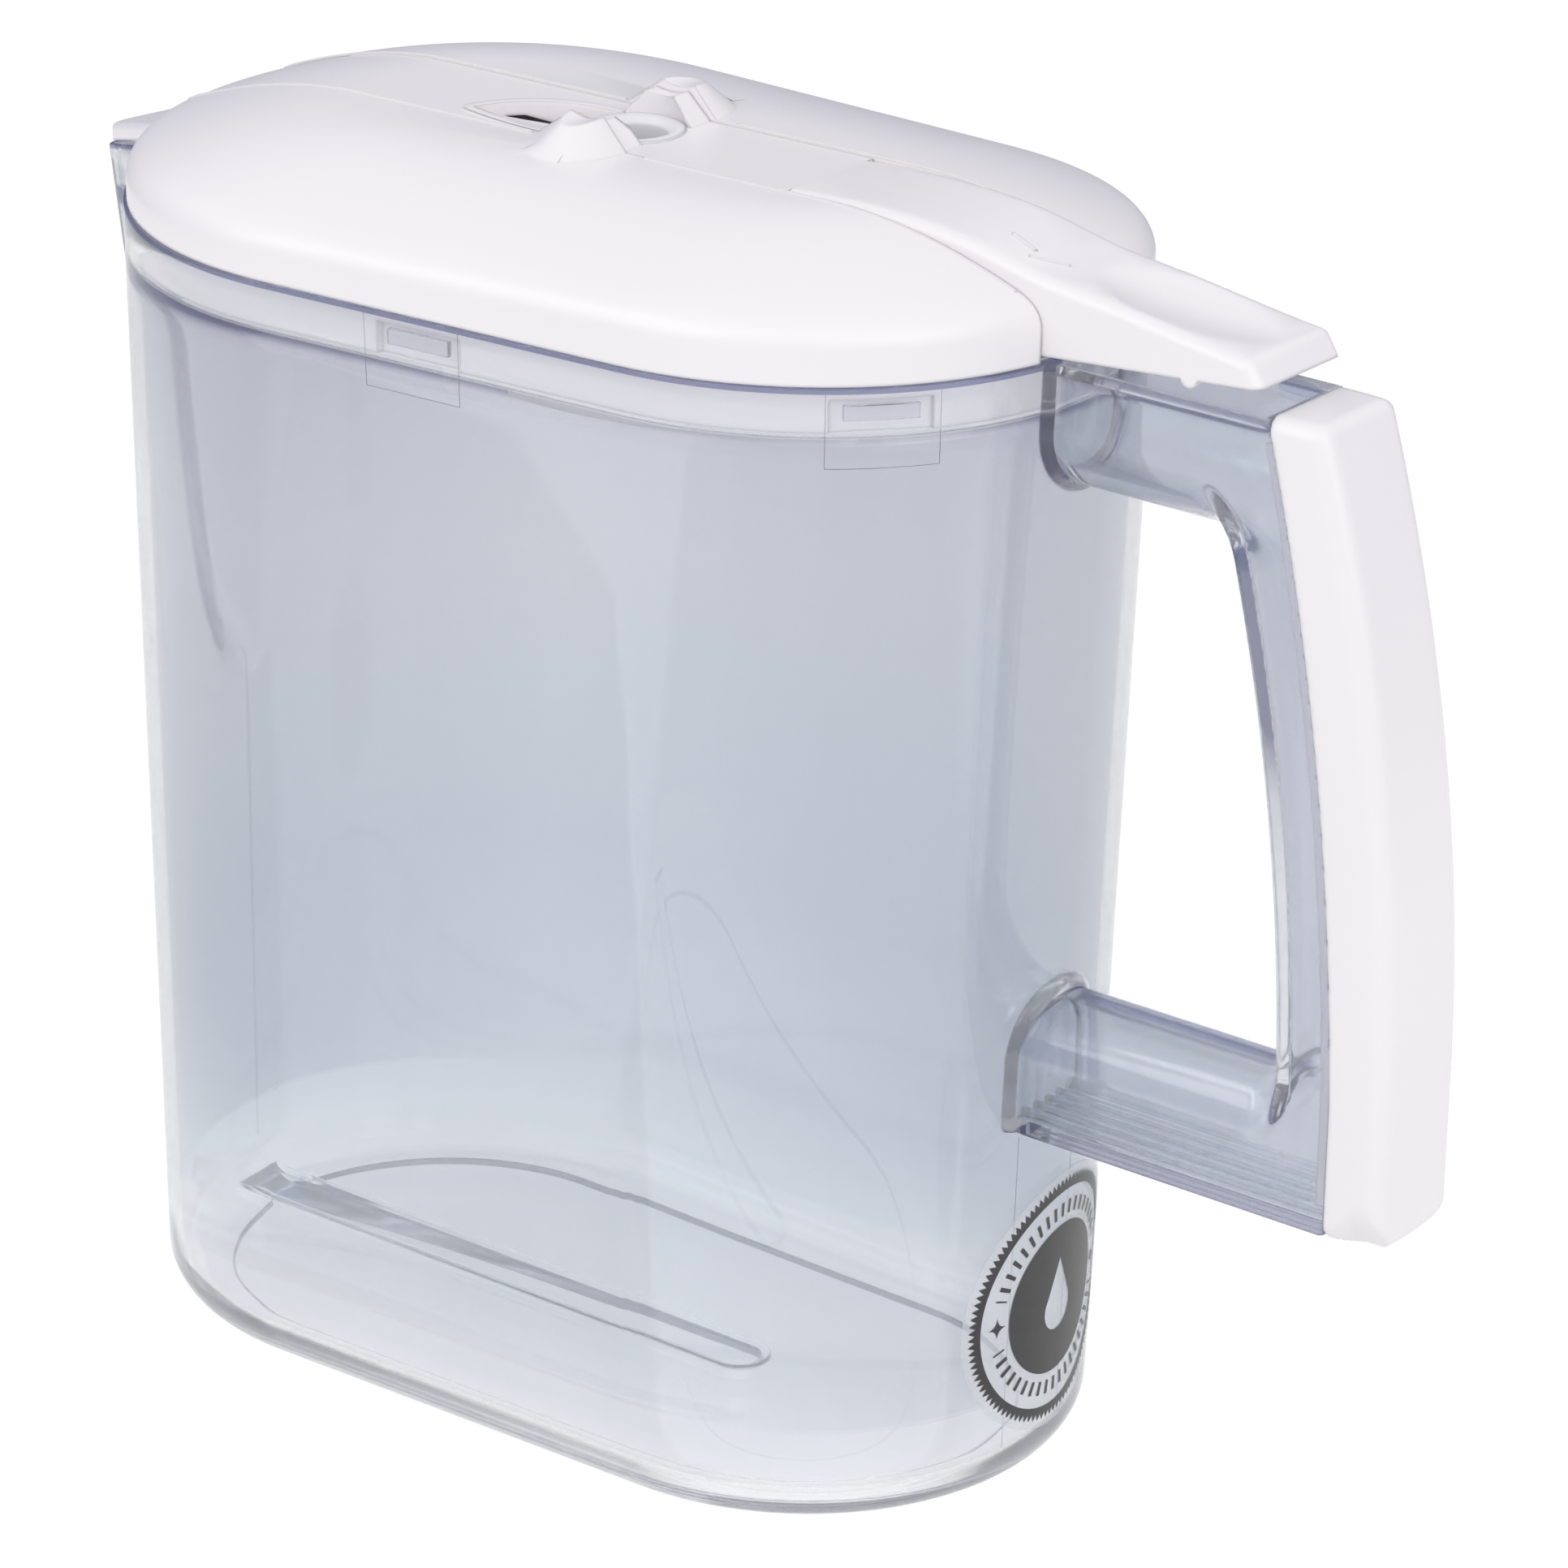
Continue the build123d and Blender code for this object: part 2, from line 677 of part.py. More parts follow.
# Lid: domed cover with two petals, a channel between them and a skirt
with BuildPart() as lid_shell:
    add(dome_outside.part)
    add(dome_inside, mode=Mode.SUBTRACT)
    extrude(plan_face(lid_z, lid_plan(lid_wall / 2)), amount=flange_thickness)
    loft(jug_sections(skirt_z, lid_z + flange_thickness, -wall - skirt_gap))
    add(skirt_inside.part, mode=Mode.SUBTRACT)
    add(channel.part)
    add(channel_step.part)
    with BuildSketch(Plane.XY.offset(collar_z)):
        with Locations((inlet_x, 0)):
            Circle(cup_r + collar_gap + collar_wall)
    extrude(amount=collar_thickness + channel_floor_thickness / 2)
    with BuildSketch(Plane.XY.offset(floor_top_z)):
        Rectangle(2 * (channel_end_x + channel_wall), 2 * slot_half)
    extrude(amount=far, mode=Mode.SUBTRACT)
    with BuildSketch(Plane.XY.offset(skirt_z)):
        with Locations((-channel_end_x, 0)):
            Rectangle(far, 2 * slot_half + slot_gap, align=(Align.MAX, Align.CENTER))
    extrude(amount=far, mode=Mode.SUBTRACT)
    with BuildSketch(Plane.XY.offset(rim_height)):
        with Locations((channel_end_x + channel_wall, 0)):
            Rectangle(far, 2 * slot_half, align=(Align.MIN, Align.CENTER))
    extrude(amount=far, mode=Mode.SUBTRACT)

    for side in (1, -1):
        with BuildSketch(Plane.XY.offset(dome_top_z - ramp_sunk)):
            with Locations((inlet_x, side * slot_half)):
                Circle(ramp_foot_r)
        extrude(amount=ramp_height + ramp_sunk, taper=ramp_taper)
    with BuildSketch(Plane.XZ):
        with Locations((inlet_x, dome_top_z + ramp_height - ramp_scoop_depth + ramp_scoop_r)):
            Circle(ramp_scoop_r)
    extrude(amount=far, both=True, mode=Mode.SUBTRACT)
    with BuildSketch(Plane.XY.offset(floor_top_z)):
        with Locations((inlet_x, 0)):
            Rectangle(4 * ramp_foot_r, 2 * slot_half)
    extrude(amount=far, mode=Mode.SUBTRACT)
    with BuildSketch(Plane.XZ):
        with Locations((hinge_x, hinge_z)):
            Circle(hinge_boss_r)
    extrude(amount=slot_half + hinge_boss_length, both=True)
    with BuildSketch(Plane.XZ):
        with Locations((hinge_x, hinge_z)):
            Circle(2 * hinge_boss_r)
    extrude(amount=slot_half, both=True, mode=Mode.SUBTRACT)
    with BuildSketch(Plane.XZ):
        with Locations((hinge_x, hinge_z)):
            Circle(hinge_pin_r + hinge_pin_seat)
    extrude(amount=slot_half + hinge_boss_length, both=True, mode=Mode.SUBTRACT)
    with BuildSketch(Plane.XY.offset(skirt_z)):
        with Locations((inlet_x, 0)):
            Circle(floor_inlet_r)
    extrude(amount=floor_top_z - skirt_z, mode=Mode.SUBTRACT)
    with BuildSketch(Plane.XY.offset(collar_z - collar_depth)):
        with Locations((inlet_x, 0)):
            Circle(cup_r + collar_gap + collar_wall)
            Circle(cup_r + collar_gap, mode=Mode.SUBTRACT)
    extrude(amount=collar_depth)
    for window in latch_planes(-wall - skirt_gap, skirt_z):
        with BuildSketch(window):
            Rectangle(latch_window_width, 2 * (latch_window_top - skirt_z))
        extrude(amount=latch_window_depth, both=True, mode=Mode.SUBTRACT)

lid_shell.part.label = "lid_shell"
export_step(lid_shell.part, "parts/lid_shell.step")

# Outside of the lever: the dome's own surface, sunk a little, up to the blend
with BuildPart() as lever_skin:
    add(dome_solid(0).translate((0, 0, -lever_sink)))
    with BuildSketch(Plane.XZ):
        with BuildLine():
            Polyline(
                (-far, rim_height + tongue_clearance + spout_rise(-far)),
                (tongue_root_x, rim_height + tongue_clearance + spout_rise(tongue_root_x)),
                (tongue_root_x, lever_side_z),
                (lever_blend_x, lever_side_z),
                (lever_blend_x, far),
                (-far, far),
                close=True,
            )
        make_face()
    extrude(amount=lever_width / 2, both=True, mode=Mode.INTERSECT)

# Thumb end of the lever, from the blend over the hinge to the tip
with BuildPart() as thumb:
    with BuildSketch(Plane.XZ):
        with BuildLine():
            ridge = Spline(
                (lever_blend_x, dome_top_z + (lever_blend_x - inlet_x) * tan(radians(dome_tilt)) - lever_sink),
                *lever_ridge,
            )
            Line(ridge @ 1, lever_tip_foot)
            Line(lever_tip_foot, lever_rim_foot)
            Line(lever_rim_foot, lever_heel)
            Line(lever_heel, (lever_heel[0], lever_side_z))
            Line((lever_heel[0], lever_side_z), (lever_blend_x, lever_side_z))
            Line((lever_blend_x, lever_side_z), ridge @ 0)
        make_face()
    extrude(amount=lever_width / 2, both=True)

# Hollow under the lever's skin, open downwards
with BuildPart() as lever_hollow:
    add(dome_solid(lever_thickness).translate((0, 0, -lever_sink)))
    with BuildSketch(Plane.XZ):
        with Locations((lever_blend_x, rim_height)):
            Rectangle(far, far, align=(Align.MAX, Align.CENTER))
    extrude(amount=lever_width / 2 - lever_side_wall, both=True, mode=Mode.INTERSECT)

# Hollow under the thumb end
with BuildPart() as thumb_hollow:
    with BuildSketch(Plane.XZ):
        with BuildLine():
            inner_rise = [(x, z - lever_thickness) for x, z in lever_ridge[:-1]]
            inner_start = (lever_blend_x, dome_top_z + (lever_blend_x - inlet_x) * tan(radians(dome_tilt)))
            ridge = Spline((inner_start[0], inner_start[1] - lever_sink - lever_thickness), *inner_rise)
            Line(ridge @ 1, (lever_tip_foot[0] - 2 * lever_thickness, skirt_z))
            Line((lever_tip_foot[0] - 2 * lever_thickness, skirt_z), (lever_blend_x, skirt_z))
            Line((lever_blend_x, skirt_z), ridge @ 0)
        make_face()
    extrude(amount=lever_width / 2 - lever_side_wall, both=True)

# Tongue over the spout: the spout's own plan, cut between two slopes
with BuildPart() as tongue:
    extrude(spout_plan(tongue_inset), amount=far)
    with BuildSketch(Plane.XZ):
        with BuildLine():
            lip_start = (tongue_root_x, rim_height + tongue_clearance + spout_rise(tongue_root_x))
            lip_end = (-far, rim_height + tongue_clearance + spout_rise(-far))
            Polyline(
                lip_start,
                lip_end,
                (lip_end[0], lip_end[1] + tongue_thickness),
                (lip_start[0], lip_start[1] + tongue_thickness),
                close=True,
            )
        make_face()
    extrude(amount=rim_spout_r, both=True, mode=Mode.INTERSECT)
    top_edges = edges().filter_by(lambda edge: tongue_share(edge.center()) > 1)
    fillet(top_edges.filter_by(lambda edge: edge.center().X < rim_spout_end), tongue_edge_r)
    with BuildSketch(Plane.XY):
        with Locations((lid_spout_x, 0)):
            Circle(lid_spout_r + tongue_dome_gap)
        Rectangle(far, lever_width, mode=Mode.SUBTRACT)
    extrude(amount=far, mode=Mode.SUBTRACT)

# Inner ramps of the lever, two plates beside the inlet
with BuildPart() as inner_ramps:
    with BuildSketch(Plane.XZ):
        with BuildLine():
            Polyline(
                (ramp_inner_foot[0], dome_top_z - ramp_sunk),
                (ramp_inner_foot[1], dome_top_z - ramp_sunk),
                (ramp_inner_top[1], dome_top_z + ramp_height - ramp_inner_drop),
                (ramp_inner_top[0], dome_top_z + ramp_height - ramp_inner_drop),
                close=True,
            )
        make_face()
        with Locations((inlet_x, dome_top_z + ramp_height - ramp_inner_drop - ramp_scoop_depth + ramp_scoop_r)):
            Circle(ramp_scoop_r, mode=Mode.SUBTRACT)
    extrude(amount=lever_width / 2, both=True)
    with BuildSketch(Plane.XY):
        Rectangle(far, 2 * ramp_inner_y)
        with Locations((inlet_x, 0)):
            Circle(ramp_well_r)
    extrude(amount=far, mode=Mode.SUBTRACT)

# Slope of the pouring scoop, from the lever's near edge down to its far side
scoop_plane = Plane(
    origin=(0, scoop_near_y, dome_top_z - lever_sink),
    x_dir=(1, 0, 0),
    z_dir=(0, sin(radians(scoop_slope)), cos(radians(scoop_slope))),
)

# Plan of the scoop: a leaf with its tip towards the spout
with BuildSketch(Plane.XY.offset(channel_floor_z)) as scoop_plan:
    with BuildLine():
        far_rim = ThreePointArc(scoop_tip, scoop_far, scoop_end)
        Line(far_rim @ 1, (scoop_end[0], scoop_near_y))
        near_rim = ThreePointArc((scoop_end[0], scoop_near_y), scoop_near, scoop_tip)
    make_face()

# Chute under the scoop, and the space that is cut out above its slope
with BuildPart() as scoop_chute:
    with BuildSketch(Plane.XY.offset(channel_floor_z)):
        add(scoop_plan.sketch)
        offset(amount=scoop_wall)
    extrude(amount=dome_top_z - lever_sink - channel_floor_z)
    with BuildSketch(scoop_plane.offset(-scoop_wall)):
        Rectangle(far, far)
    extrude(amount=-far, mode=Mode.SUBTRACT)
with BuildPart() as scoop_space:
    extrude(scoop_plan.sketch, amount=far)
    with BuildSketch(scoop_plane):
        Rectangle(far, far)
    extrude(amount=-far, mode=Mode.SUBTRACT)

# Slot along the scoop's deep side, open to the space under the lever
with BuildPart() as scoop_slot:
    with BuildSketch(Plane.XY.offset(channel_floor_z)):
        add(scoop_plan.sketch)
        offset(amount=2 * scoop_wall)
        with Locations((0, scoop_slot_y)):
            Rectangle(far, far, align=(Align.CENTER, Align.MAX), mode=Mode.SUBTRACT)
    extrude(amount=dome_top_z - channel_floor_z - lever_thickness - lever_sink)
    with BuildSketch(scoop_plane):
        Rectangle(far, far)
    extrude(amount=-far, mode=Mode.SUBTRACT)
    with BuildSketch(scoop_plane.offset(scoop_slot_height)):
        Rectangle(far, far)
    extrude(amount=far, mode=Mode.SUBTRACT)

# Shallow dish for the thumb, part of a large ring laid across the lever
with BuildPart() as dish_ring:
    dish_lift = thumb_dish_long_r - thumb_dish_depth
    lean = radians(thumb_dish_lean)
    with Locations((thumb_dish[0] + dish_lift * sin(lean), 0, thumb_dish[1] + dish_lift * cos(lean))):
        Torus(thumb_dish_long_r - thumb_dish_r, thumb_dish_r, rotation=(90, 0, 0))

# Pouring lever: band, spout tongue and thumb rest in one piece
with BuildPart() as pour_lever:
    add(lever_skin.part)
    add(thumb.part)
    ridge_edges = edges().filter_by(lambda edge: edge.center().X > lever_heel[0])
    ridge_edges = ridge_edges.filter_by(lambda edge: edge.center().Z > lever_tip_foot[1])
    fillet(ridge_edges.filter_by(lambda edge: abs(edge.center().Y) > lever_side_wall), lever_ridge_r)
    add(dish_ring.part, mode=Mode.SUBTRACT)
    with BuildSketch(Plane.XZ):
        with Locations((nub_x, nub_low_z + nub_r)):
            Circle(nub_r)
    extrude(amount=lever_width / 2, both=True)
    add(lever_hollow.part, mode=Mode.SUBTRACT)
    add(thumb_hollow.part, mode=Mode.SUBTRACT)
    add(scoop_chute.part)
    add(inner_ramps.part)
    add(tongue.part)
    with BuildSketch(Plane.XZ):
        with Locations((hinge_x, hinge_z)):
            Circle(hinge_boss_r)
    extrude(amount=lever_width / 2, both=True)
    with BuildSketch(Plane.XZ):
        with Locations((hinge_x, hinge_z)):
            Circle(hinge_boss_r + tongue_clearance)
    extrude(amount=lever_width / 2 - hinge_boss_length, both=True, mode=Mode.SUBTRACT)
    with BuildSketch(Plane.XZ):
        with Locations((hinge_x, hinge_z)):
            Circle(hinge_pin_r + hinge_pin_play)
    extrude(amount=lever_width / 2, both=True, mode=Mode.SUBTRACT)
    add(scoop_space.part, mode=Mode.SUBTRACT)

    add(scoop_slot.part, mode=Mode.SUBTRACT)
    with BuildSketch(Plane.XY.offset(channel_floor_z)):
        with Locations((inlet_x, 0)):
            Circle(inlet_sleeve_r + inlet_seat_gap)
    extrude(amount=far, mode=Mode.SUBTRACT)
    with BuildSketch(Plane.XY.offset(inlet_seat_z)):
        with Locations((inlet_x, 0)):
            Circle(inlet_flange_r + inlet_seat_gap)
    extrude(amount=far, mode=Mode.SUBTRACT)

pour_lever.part.label = "pour_lever"
export_step(pour_lever.part, "parts/pour_lever.step")

# Inlet insert: flanged bush that the distiller drips into
with BuildPart() as inlet_insert:
    with BuildSketch(Plane.XZ):
        with BuildLine():
            Polyline(
                (inlet_x + inlet_hole_r, inlet_seat_z - inlet_sleeve_length),
                (inlet_x + inlet_sleeve_r, inlet_seat_z - inlet_sleeve_length),
                (inlet_x + inlet_sleeve_r, inlet_seat_z),
                (inlet_x + inlet_flange_r, inlet_seat_z),
                (inlet_x + inlet_flange_r, inlet_seat_z + inlet_flange_thickness),
                (inlet_x + inlet_hole_r + inlet_flange_thickness, inlet_seat_z + inlet_flange_thickness),
                (inlet_x + inlet_hole_r, inlet_seat_z),
                close=True,
            )
        make_face()
    revolve(axis=inlet_axis)

inlet_insert.part.label = "inlet_insert"
export_step(inlet_insert.part, "parts/inlet_insert.step")

# Hinge pin: steel rod held in the lid, on which the lever turns
with BuildPart() as hinge_pin:
    with BuildSketch(Plane.XZ):
        with Locations((hinge_x, hinge_z)):
            Circle(hinge_pin_r)
    extrude(amount=slot_half + hinge_boss_length, both=True)

hinge_pin.part.label = "hinge_pin"
export_step(hinge_pin.part, "parts/hinge_pin.step")

# Filter cup: pot under the inlet with a ledge for its cap and holes to drain
with BuildPart() as filter_cup:
    with BuildSketch(Plane.XZ):
        with BuildLine():
            Polyline(
                (inlet_x, cup_foot_z),
                (inlet_x + cup_r, cup_foot_z),
                (inlet_x + cup_r, cup_top_z),
                (inlet_x + cup_r - cup_wall, cup_top_z),
                (inlet_x + cup_r - cup_wall, cup_ledge_z),
                (inlet_x + cup_r - cup_wall - cup_ledge_width, cup_ledge_z),
                (inlet_x + cup_r - cup_wall - cup_ledge_width, cup_ledge_z - cup_ledge_width),
                (inlet_x + cup_r - cup_wall, cup_ledge_z - 2 * cup_ledge_width),
                (inlet_x + cup_r - cup_wall, cup_foot_z + cup_wall),
                (inlet_x, cup_foot_z + cup_wall),
                close=True,
            )
        make_face()
    revolve(axis=inlet_axis)
    with BuildSketch(Plane.XY.offset(cup_foot_z)):
        with Locations((inlet_x, 0)):
            for ring_r in drain_ring_r:
                with PolarLocations(ring_r, drain_ring_count):
                    Circle(drain_hole_r)
    extrude(amount=cup_wall, mode=Mode.SUBTRACT)

filter_cup.part.label = "filter_cup"
export_step(filter_cup.part, "parts/filter_cup.step")

# Filter cap: drilled disc that spreads the water over the carbon
with BuildPart() as filter_cap:
    with BuildSketch(Plane.XY.offset(cup_ledge_z)):
        with Locations((inlet_x, 0)):
            Circle(cup_r - cup_wall - cap_play)
            for ring_r in drain_ring_r:
                with PolarLocations(ring_r, drain_ring_count):
                    Circle(drain_hole_r, mode=Mode.SUBTRACT)
    extrude(amount=cap_thickness)

filter_cap.part.label = "filter_cap"
export_step(filter_cap.part, "parts/filter_cap.step")

# Cup seal: flat rubber ring between the cup and the lid
with BuildPart() as cup_seal:
    with BuildSketch(Plane.XY.offset(cup_top_z)):
        with Locations((inlet_x, 0)):
            Circle(cup_r)
            Circle(cup_r - seal_width, mode=Mode.SUBTRACT)
    extrude(amount=seal_thickness)

cup_seal.part.label = "cup_seal"
export_step(cup_seal.part, "parts/cup_seal.step")

# Carbon pack: bag of carbon grains, as one soft cylinder
with BuildPart() as carbon_pack:
    with BuildSketch(Plane.XY.offset(cup_foot_z + cup_wall)):
        with Locations((inlet_x, 0)):
            Circle(cup_r - cup_wall - carbon_gap)
    extrude(amount=cup_ledge_z - 2 * cup_ledge_width - cup_foot_z - cup_wall)
    fillet(edges(), carbon_edge_r)

carbon_pack.part.label = "carbon_pack"
export_step(carbon_pack.part, "parts/carbon_pack.step")

# Outer skin and inner skin between which the label lies
with BuildPart() as label_skin:
    loft(jug_sections(0, rim_height, label_gap + label_thickness))
with BuildPart() as label_bed:
    loft(jug_sections(0, rim_height, label_gap))

# Round label on the wall under the handle
with BuildPart() as round_label:
    with BuildSketch(Plane.YZ.offset(rim_handle_x)):
        with Locations((label_y, label_z)):
            Circle(label_r)
    extrude(amount=far)
    add(label_skin.part, mode=Mode.INTERSECT)
    add(label_bed.part, mode=Mode.SUBTRACT)

round_label.part.label = "round_label"
export_step(round_label.part, "parts/round_label.step")
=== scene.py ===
from math import cos, pi, radians, sin, sqrt

import bmesh
import bpy
import numpy as np
from mathutils import Matrix, Vector
from mathutils.bvhtree import BVHTree


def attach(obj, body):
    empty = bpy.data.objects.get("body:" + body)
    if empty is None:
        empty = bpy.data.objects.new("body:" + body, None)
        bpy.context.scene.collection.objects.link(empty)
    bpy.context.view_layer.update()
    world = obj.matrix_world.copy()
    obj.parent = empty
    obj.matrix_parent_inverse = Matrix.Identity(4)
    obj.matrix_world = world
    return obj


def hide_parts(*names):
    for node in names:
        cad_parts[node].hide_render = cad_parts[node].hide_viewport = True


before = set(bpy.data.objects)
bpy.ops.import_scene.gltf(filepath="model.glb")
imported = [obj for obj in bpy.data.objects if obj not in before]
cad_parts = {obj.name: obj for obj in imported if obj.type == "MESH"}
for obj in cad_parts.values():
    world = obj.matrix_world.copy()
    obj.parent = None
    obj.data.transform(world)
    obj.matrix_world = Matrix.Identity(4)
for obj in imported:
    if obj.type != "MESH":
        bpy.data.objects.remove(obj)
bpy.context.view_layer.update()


# Studio: a pale table under an even white light tent, with two large soft
# lamps and two narrow ones. The camera looks at the jug from beside its
# handle, from a little above its lid.
class Finish:
    """A socket in a material. Sums and products of sockets add Math nodes."""

    def __init__(self, tree, socket=None):
        self.tree = tree
        self.socket = socket

    def node(self, kind, settings, inputs, output=0):
        made = self.tree.nodes.new(kind)
        for key, value in settings.items():
            if key == "stops":
                while len(made.color_ramp.elements) < len(value):
                    made.color_ramp.elements.new(0.5)
                for element, (place, colour) in zip(made.color_ramp.elements, value):
                    element.position = place
                    element.color = (*colour, 1)
            else:
                setattr(made, key, value)
        for key, value in inputs.items():
            if isinstance(value, Finish):
                self.tree.links.new(value.socket, made.inputs[key])
            else:
                made.inputs[key].default_value = value
        return Finish(self.tree, made.outputs[output] if made.outputs else None)

    def math(self, operation, first, second=0.0):
        return self.node("ShaderNodeMath", {"operation": operation}, {0: first, 1: second})

    def __add__(self, other):
        return self.math("ADD", self, other)

    def __radd__(self, other):
        return self.math("ADD", other, self)

    def __sub__(self, other):
        return self.math("SUBTRACT", self, other)

    def __rsub__(self, other):
        return self.math("SUBTRACT", other, self)

    def __mul__(self, other):
        return self.math("MULTIPLY", self, other)

    def __rmul__(self, other):
        return self.math("MULTIPLY", other, self)

    def __truediv__(self, other):
        return self.math("DIVIDE", self, other)

    def __lt__(self, other):
        return self.math("LESS_THAN", self, other)

    def __gt__(self, other):
        return self.math("GREATER_THAN", self, other)


def new_finish(name):
    """A material with an empty node tree, ready for its nodes."""
    material = bpy.data.materials.new(name)
    material.use_nodes = True
    material.node_tree.nodes.clear()
    return material, Finish(material.node_tree)


def bent_ray(finish):
    """1 for rays that come from a reflection or through a clear wall."""
    mirrored = finish.node("ShaderNodeLightPath", {}, {}, "Is Glossy Ray")
    through = finish.node("ShaderNodeLightPath", {}, {}, "Is Transmission Ray")
    return finish.math("MAXIMUM", mirrored, through)


def seen_directly(finish):
    """1 for rays that come from the camera, a reflection or a clear wall."""
    ray = finish.node("ShaderNodeLightPath", {}, {}, "Is Camera Ray")
    return finish.math("MAXIMUM", ray, bent_ray(finish))


camera_place = Vector((0.72070, -0.88872, 0.58699))
camera_target = Vector((0.038084, 0.0, 0.122394))
camera_roll = radians(0.899)
camera_lens = 153.93
film_width = 36
back = (camera_place - camera_target).normalized()
right = Vector((0, 0, 1)).cross(back).normalized()
up = back.cross(right)
tilted_right = right * cos(camera_roll) + up * sin(camera_roll)
tilted_up = up * cos(camera_roll) - right * sin(camera_roll)
camera = bpy.data.objects.new("camera", bpy.data.cameras.new("camera"))
camera.data.lens = camera_lens
camera.data.sensor_width = film_width
camera.data.clip_start = 0.05
turn = Matrix((tilted_right, tilted_up, back)).transposed().to_4x4()
camera.matrix_world = Matrix.Translation(camera_place) @ turn
bpy.context.scene.collection.objects.link(camera)
bpy.context.scene.camera = camera
bpy.context.scene.view_settings.view_transform = "Standard"

world = bpy.data.worlds.new("light_tent")
world.use_nodes = True
world.node_tree.nodes.clear()
bpy.context.scene.world = world
tent = Finish(world.node_tree)
tent_light = 0.80
white = (1, 1, 1, 1)
tent_strength = seen_directly(tent) * (1 - tent_light) + tent_light
heading = tent.node("ShaderNodeTexCoord", {}, {}, "Generated")
room = tent.node("ShaderNodeValToRGB", {"stops": (
    (0.0, (0.08, 0.10, 0.25)),
    (0.34, (0.11, 0.13, 0.30)),
    (0.56, (0.95, 0.95, 1.0)),
    (1.0, (1.0, 1.0, 1.0)),
)}, {0: tent.node("ShaderNodeSeparateXYZ", {}, {0: heading}, 2)})
tent_colour = tent.node(
    "ShaderNodeMix", {"data_type": "RGBA"}, {0: bent_ray(tent), 6: white, 7: room}, 2
)
tent_glow = tent.node("ShaderNodeBackground", {}, {"Color": tent_colour, "Strength": tent_strength})
tent.node("ShaderNodeOutputWorld", {}, {"Surface": tent_glow})

table_half = 3.0
table_z = -0.0003
table_mesh = bpy.data.meshes.new("table")
table_mesh.from_pydata([
    (x * table_half, y * table_half, table_z) for x, y in ((-1, -1), (1, -1), (1, 1), (-1, 1))
], [], [(0, 1, 2, 3)])
table = bpy.data.objects.new("table", table_mesh)
bpy.context.scene.collection.objects.link(table)
table_paint, finish = new_finish("table_paint")
matt = finish.node("ShaderNodeBsdfDiffuse", {}, {"Color": (0.9, 0.9, 0.9, 1)})
place = finish.node("ShaderNodeTexCoord", {}, {}, "Object")
away = finish.node("ShaderNodeVectorMath", {"operation": "LENGTH"}, {0: place}, 1)
sweep = finish.node("ShaderNodeValToRGB", {"stops": (
    (0.0, (1.0, 1.0, 1.0)), (0.75, (1.0, 1.0, 1.0)), (1.0, (0.06, 0.07, 0.2)),
)}, {0: away})
glow = finish.node(
    "ShaderNodeMix", {"data_type": "RGBA"}, {0: bent_ray(finish), 6: white, 7: sweep}, 2
)
table_glow = 1.03
table_glow_share = 0.9
bright = finish.node("ShaderNodeEmission", {}, {"Color": glow, "Strength": table_glow})
share = seen_directly(finish) * table_glow_share
shown = finish.node("ShaderNodeMixShader", {}, {0: share, 1: matt, 2: bright})
finish.node("ShaderNodeOutputMaterial", {}, {"Surface": shown})
table_mesh.materials.append(table_paint)

lamp_height = 1.1
for name, place, width, power in (
    ("key_lamp", (-0.35, -1.35, 1.35), 1.1, 5.6),
    ("fill_lamp", (1.5, -0.35, 0.8), 0.9, 4.8),
    ("strip_lamp", (-0.75, -0.75, 1.1), 0.16, 1.6),
    ("window_lamp", (1.15, -0.95, 1.0), 0.16, 1.2),
):
    lamp = bpy.data.objects.new(name, bpy.data.lights.new(name, "AREA"))
    lamp.data.shape = "RECTANGLE"
    lamp.data.size = width
    lamp.data.size_y = lamp_height
    lamp.data.energy = power
    lamp.location = place
    lamp.rotation_euler = (Vector(place) - camera_target).to_track_quat("Z", "Y").to_euler()
    bpy.context.scene.collection.objects.link(lamp)


# Jug body: one clear, faintly blue injection moulding of tough plastic, with
# walls 2.5 mm thick, a foot ring, a floor with a guide groove and a V-shaped
# spout that blends out of the wall. Its mouth edge is painted dark violet as
# painted shade, and its tint carries painted light and shade by height and
# towards its ends.
rim_height = 0.2198
spout_lip_slope = 0.32
handle_start_x = 0.1045
body_start_x = -0.1
body_length = 0.2
skirt_low_z = 0.2095
foot_top_z = 0.02
lip_start_x = -0.0978
# Depth of the rim's painted dark violet shade band, and where it stops before the handle.
rim_shade_depth = 0.001
rim_shade_end_x = 0.1035
see_through_share = 0.11
clear_plastic, finish = new_finish("clear_plastic")
place = finish.node("ShaderNodeTexCoord", {}, {}, "Object")
ripple = finish.node("ShaderNodeTexNoise", {}, {"Vector": place, "Scale": 22.0, "Detail": 1.0})
soft_edge = finish.node("ShaderNodeBevel", {"samples": 4}, {"Radius": 0.0006})
wavy = finish.node("ShaderNodeBump", {}, {
    "Height": ripple, "Strength": 0.03, "Distance": 0.0006, "Normal": soft_edge,
})
handling = finish.node("ShaderNodeTexNoise", {}, {"Vector": place, "Scale": 420.0, "Detail": 3.0})
along = finish.node("ShaderNodeSeparateXYZ", {}, {0: place}, 0)
height = finish.node("ShaderNodeSeparateXYZ", {}, {0: place}, 2)
# Tint by height: the plastic's own faint blue with painted light and shade on it. It is nearly
# white at the foot, darkest low on the wall, lighter higher up, and much clearer above the skirt's
# lower edge.
height_tint_and_painted_light = finish.node("ShaderNodeValToRGB", {"stops": (
    (0.0, (1.0, 1.0, 1.0)),
    (0.010, (0.97, 0.98, 1.0)),
    (0.03, (0.78, 0.82, 0.87)),
    (0.07, (0.69, 0.725, 0.785)),
    (0.14, (0.755, 0.78, 0.825)),
    (skirt_low_z, (0.775, 0.79, 0.835)),
    (skirt_low_z + 0.001, (0.94, 0.935, 0.95)),
)}, {0: height})
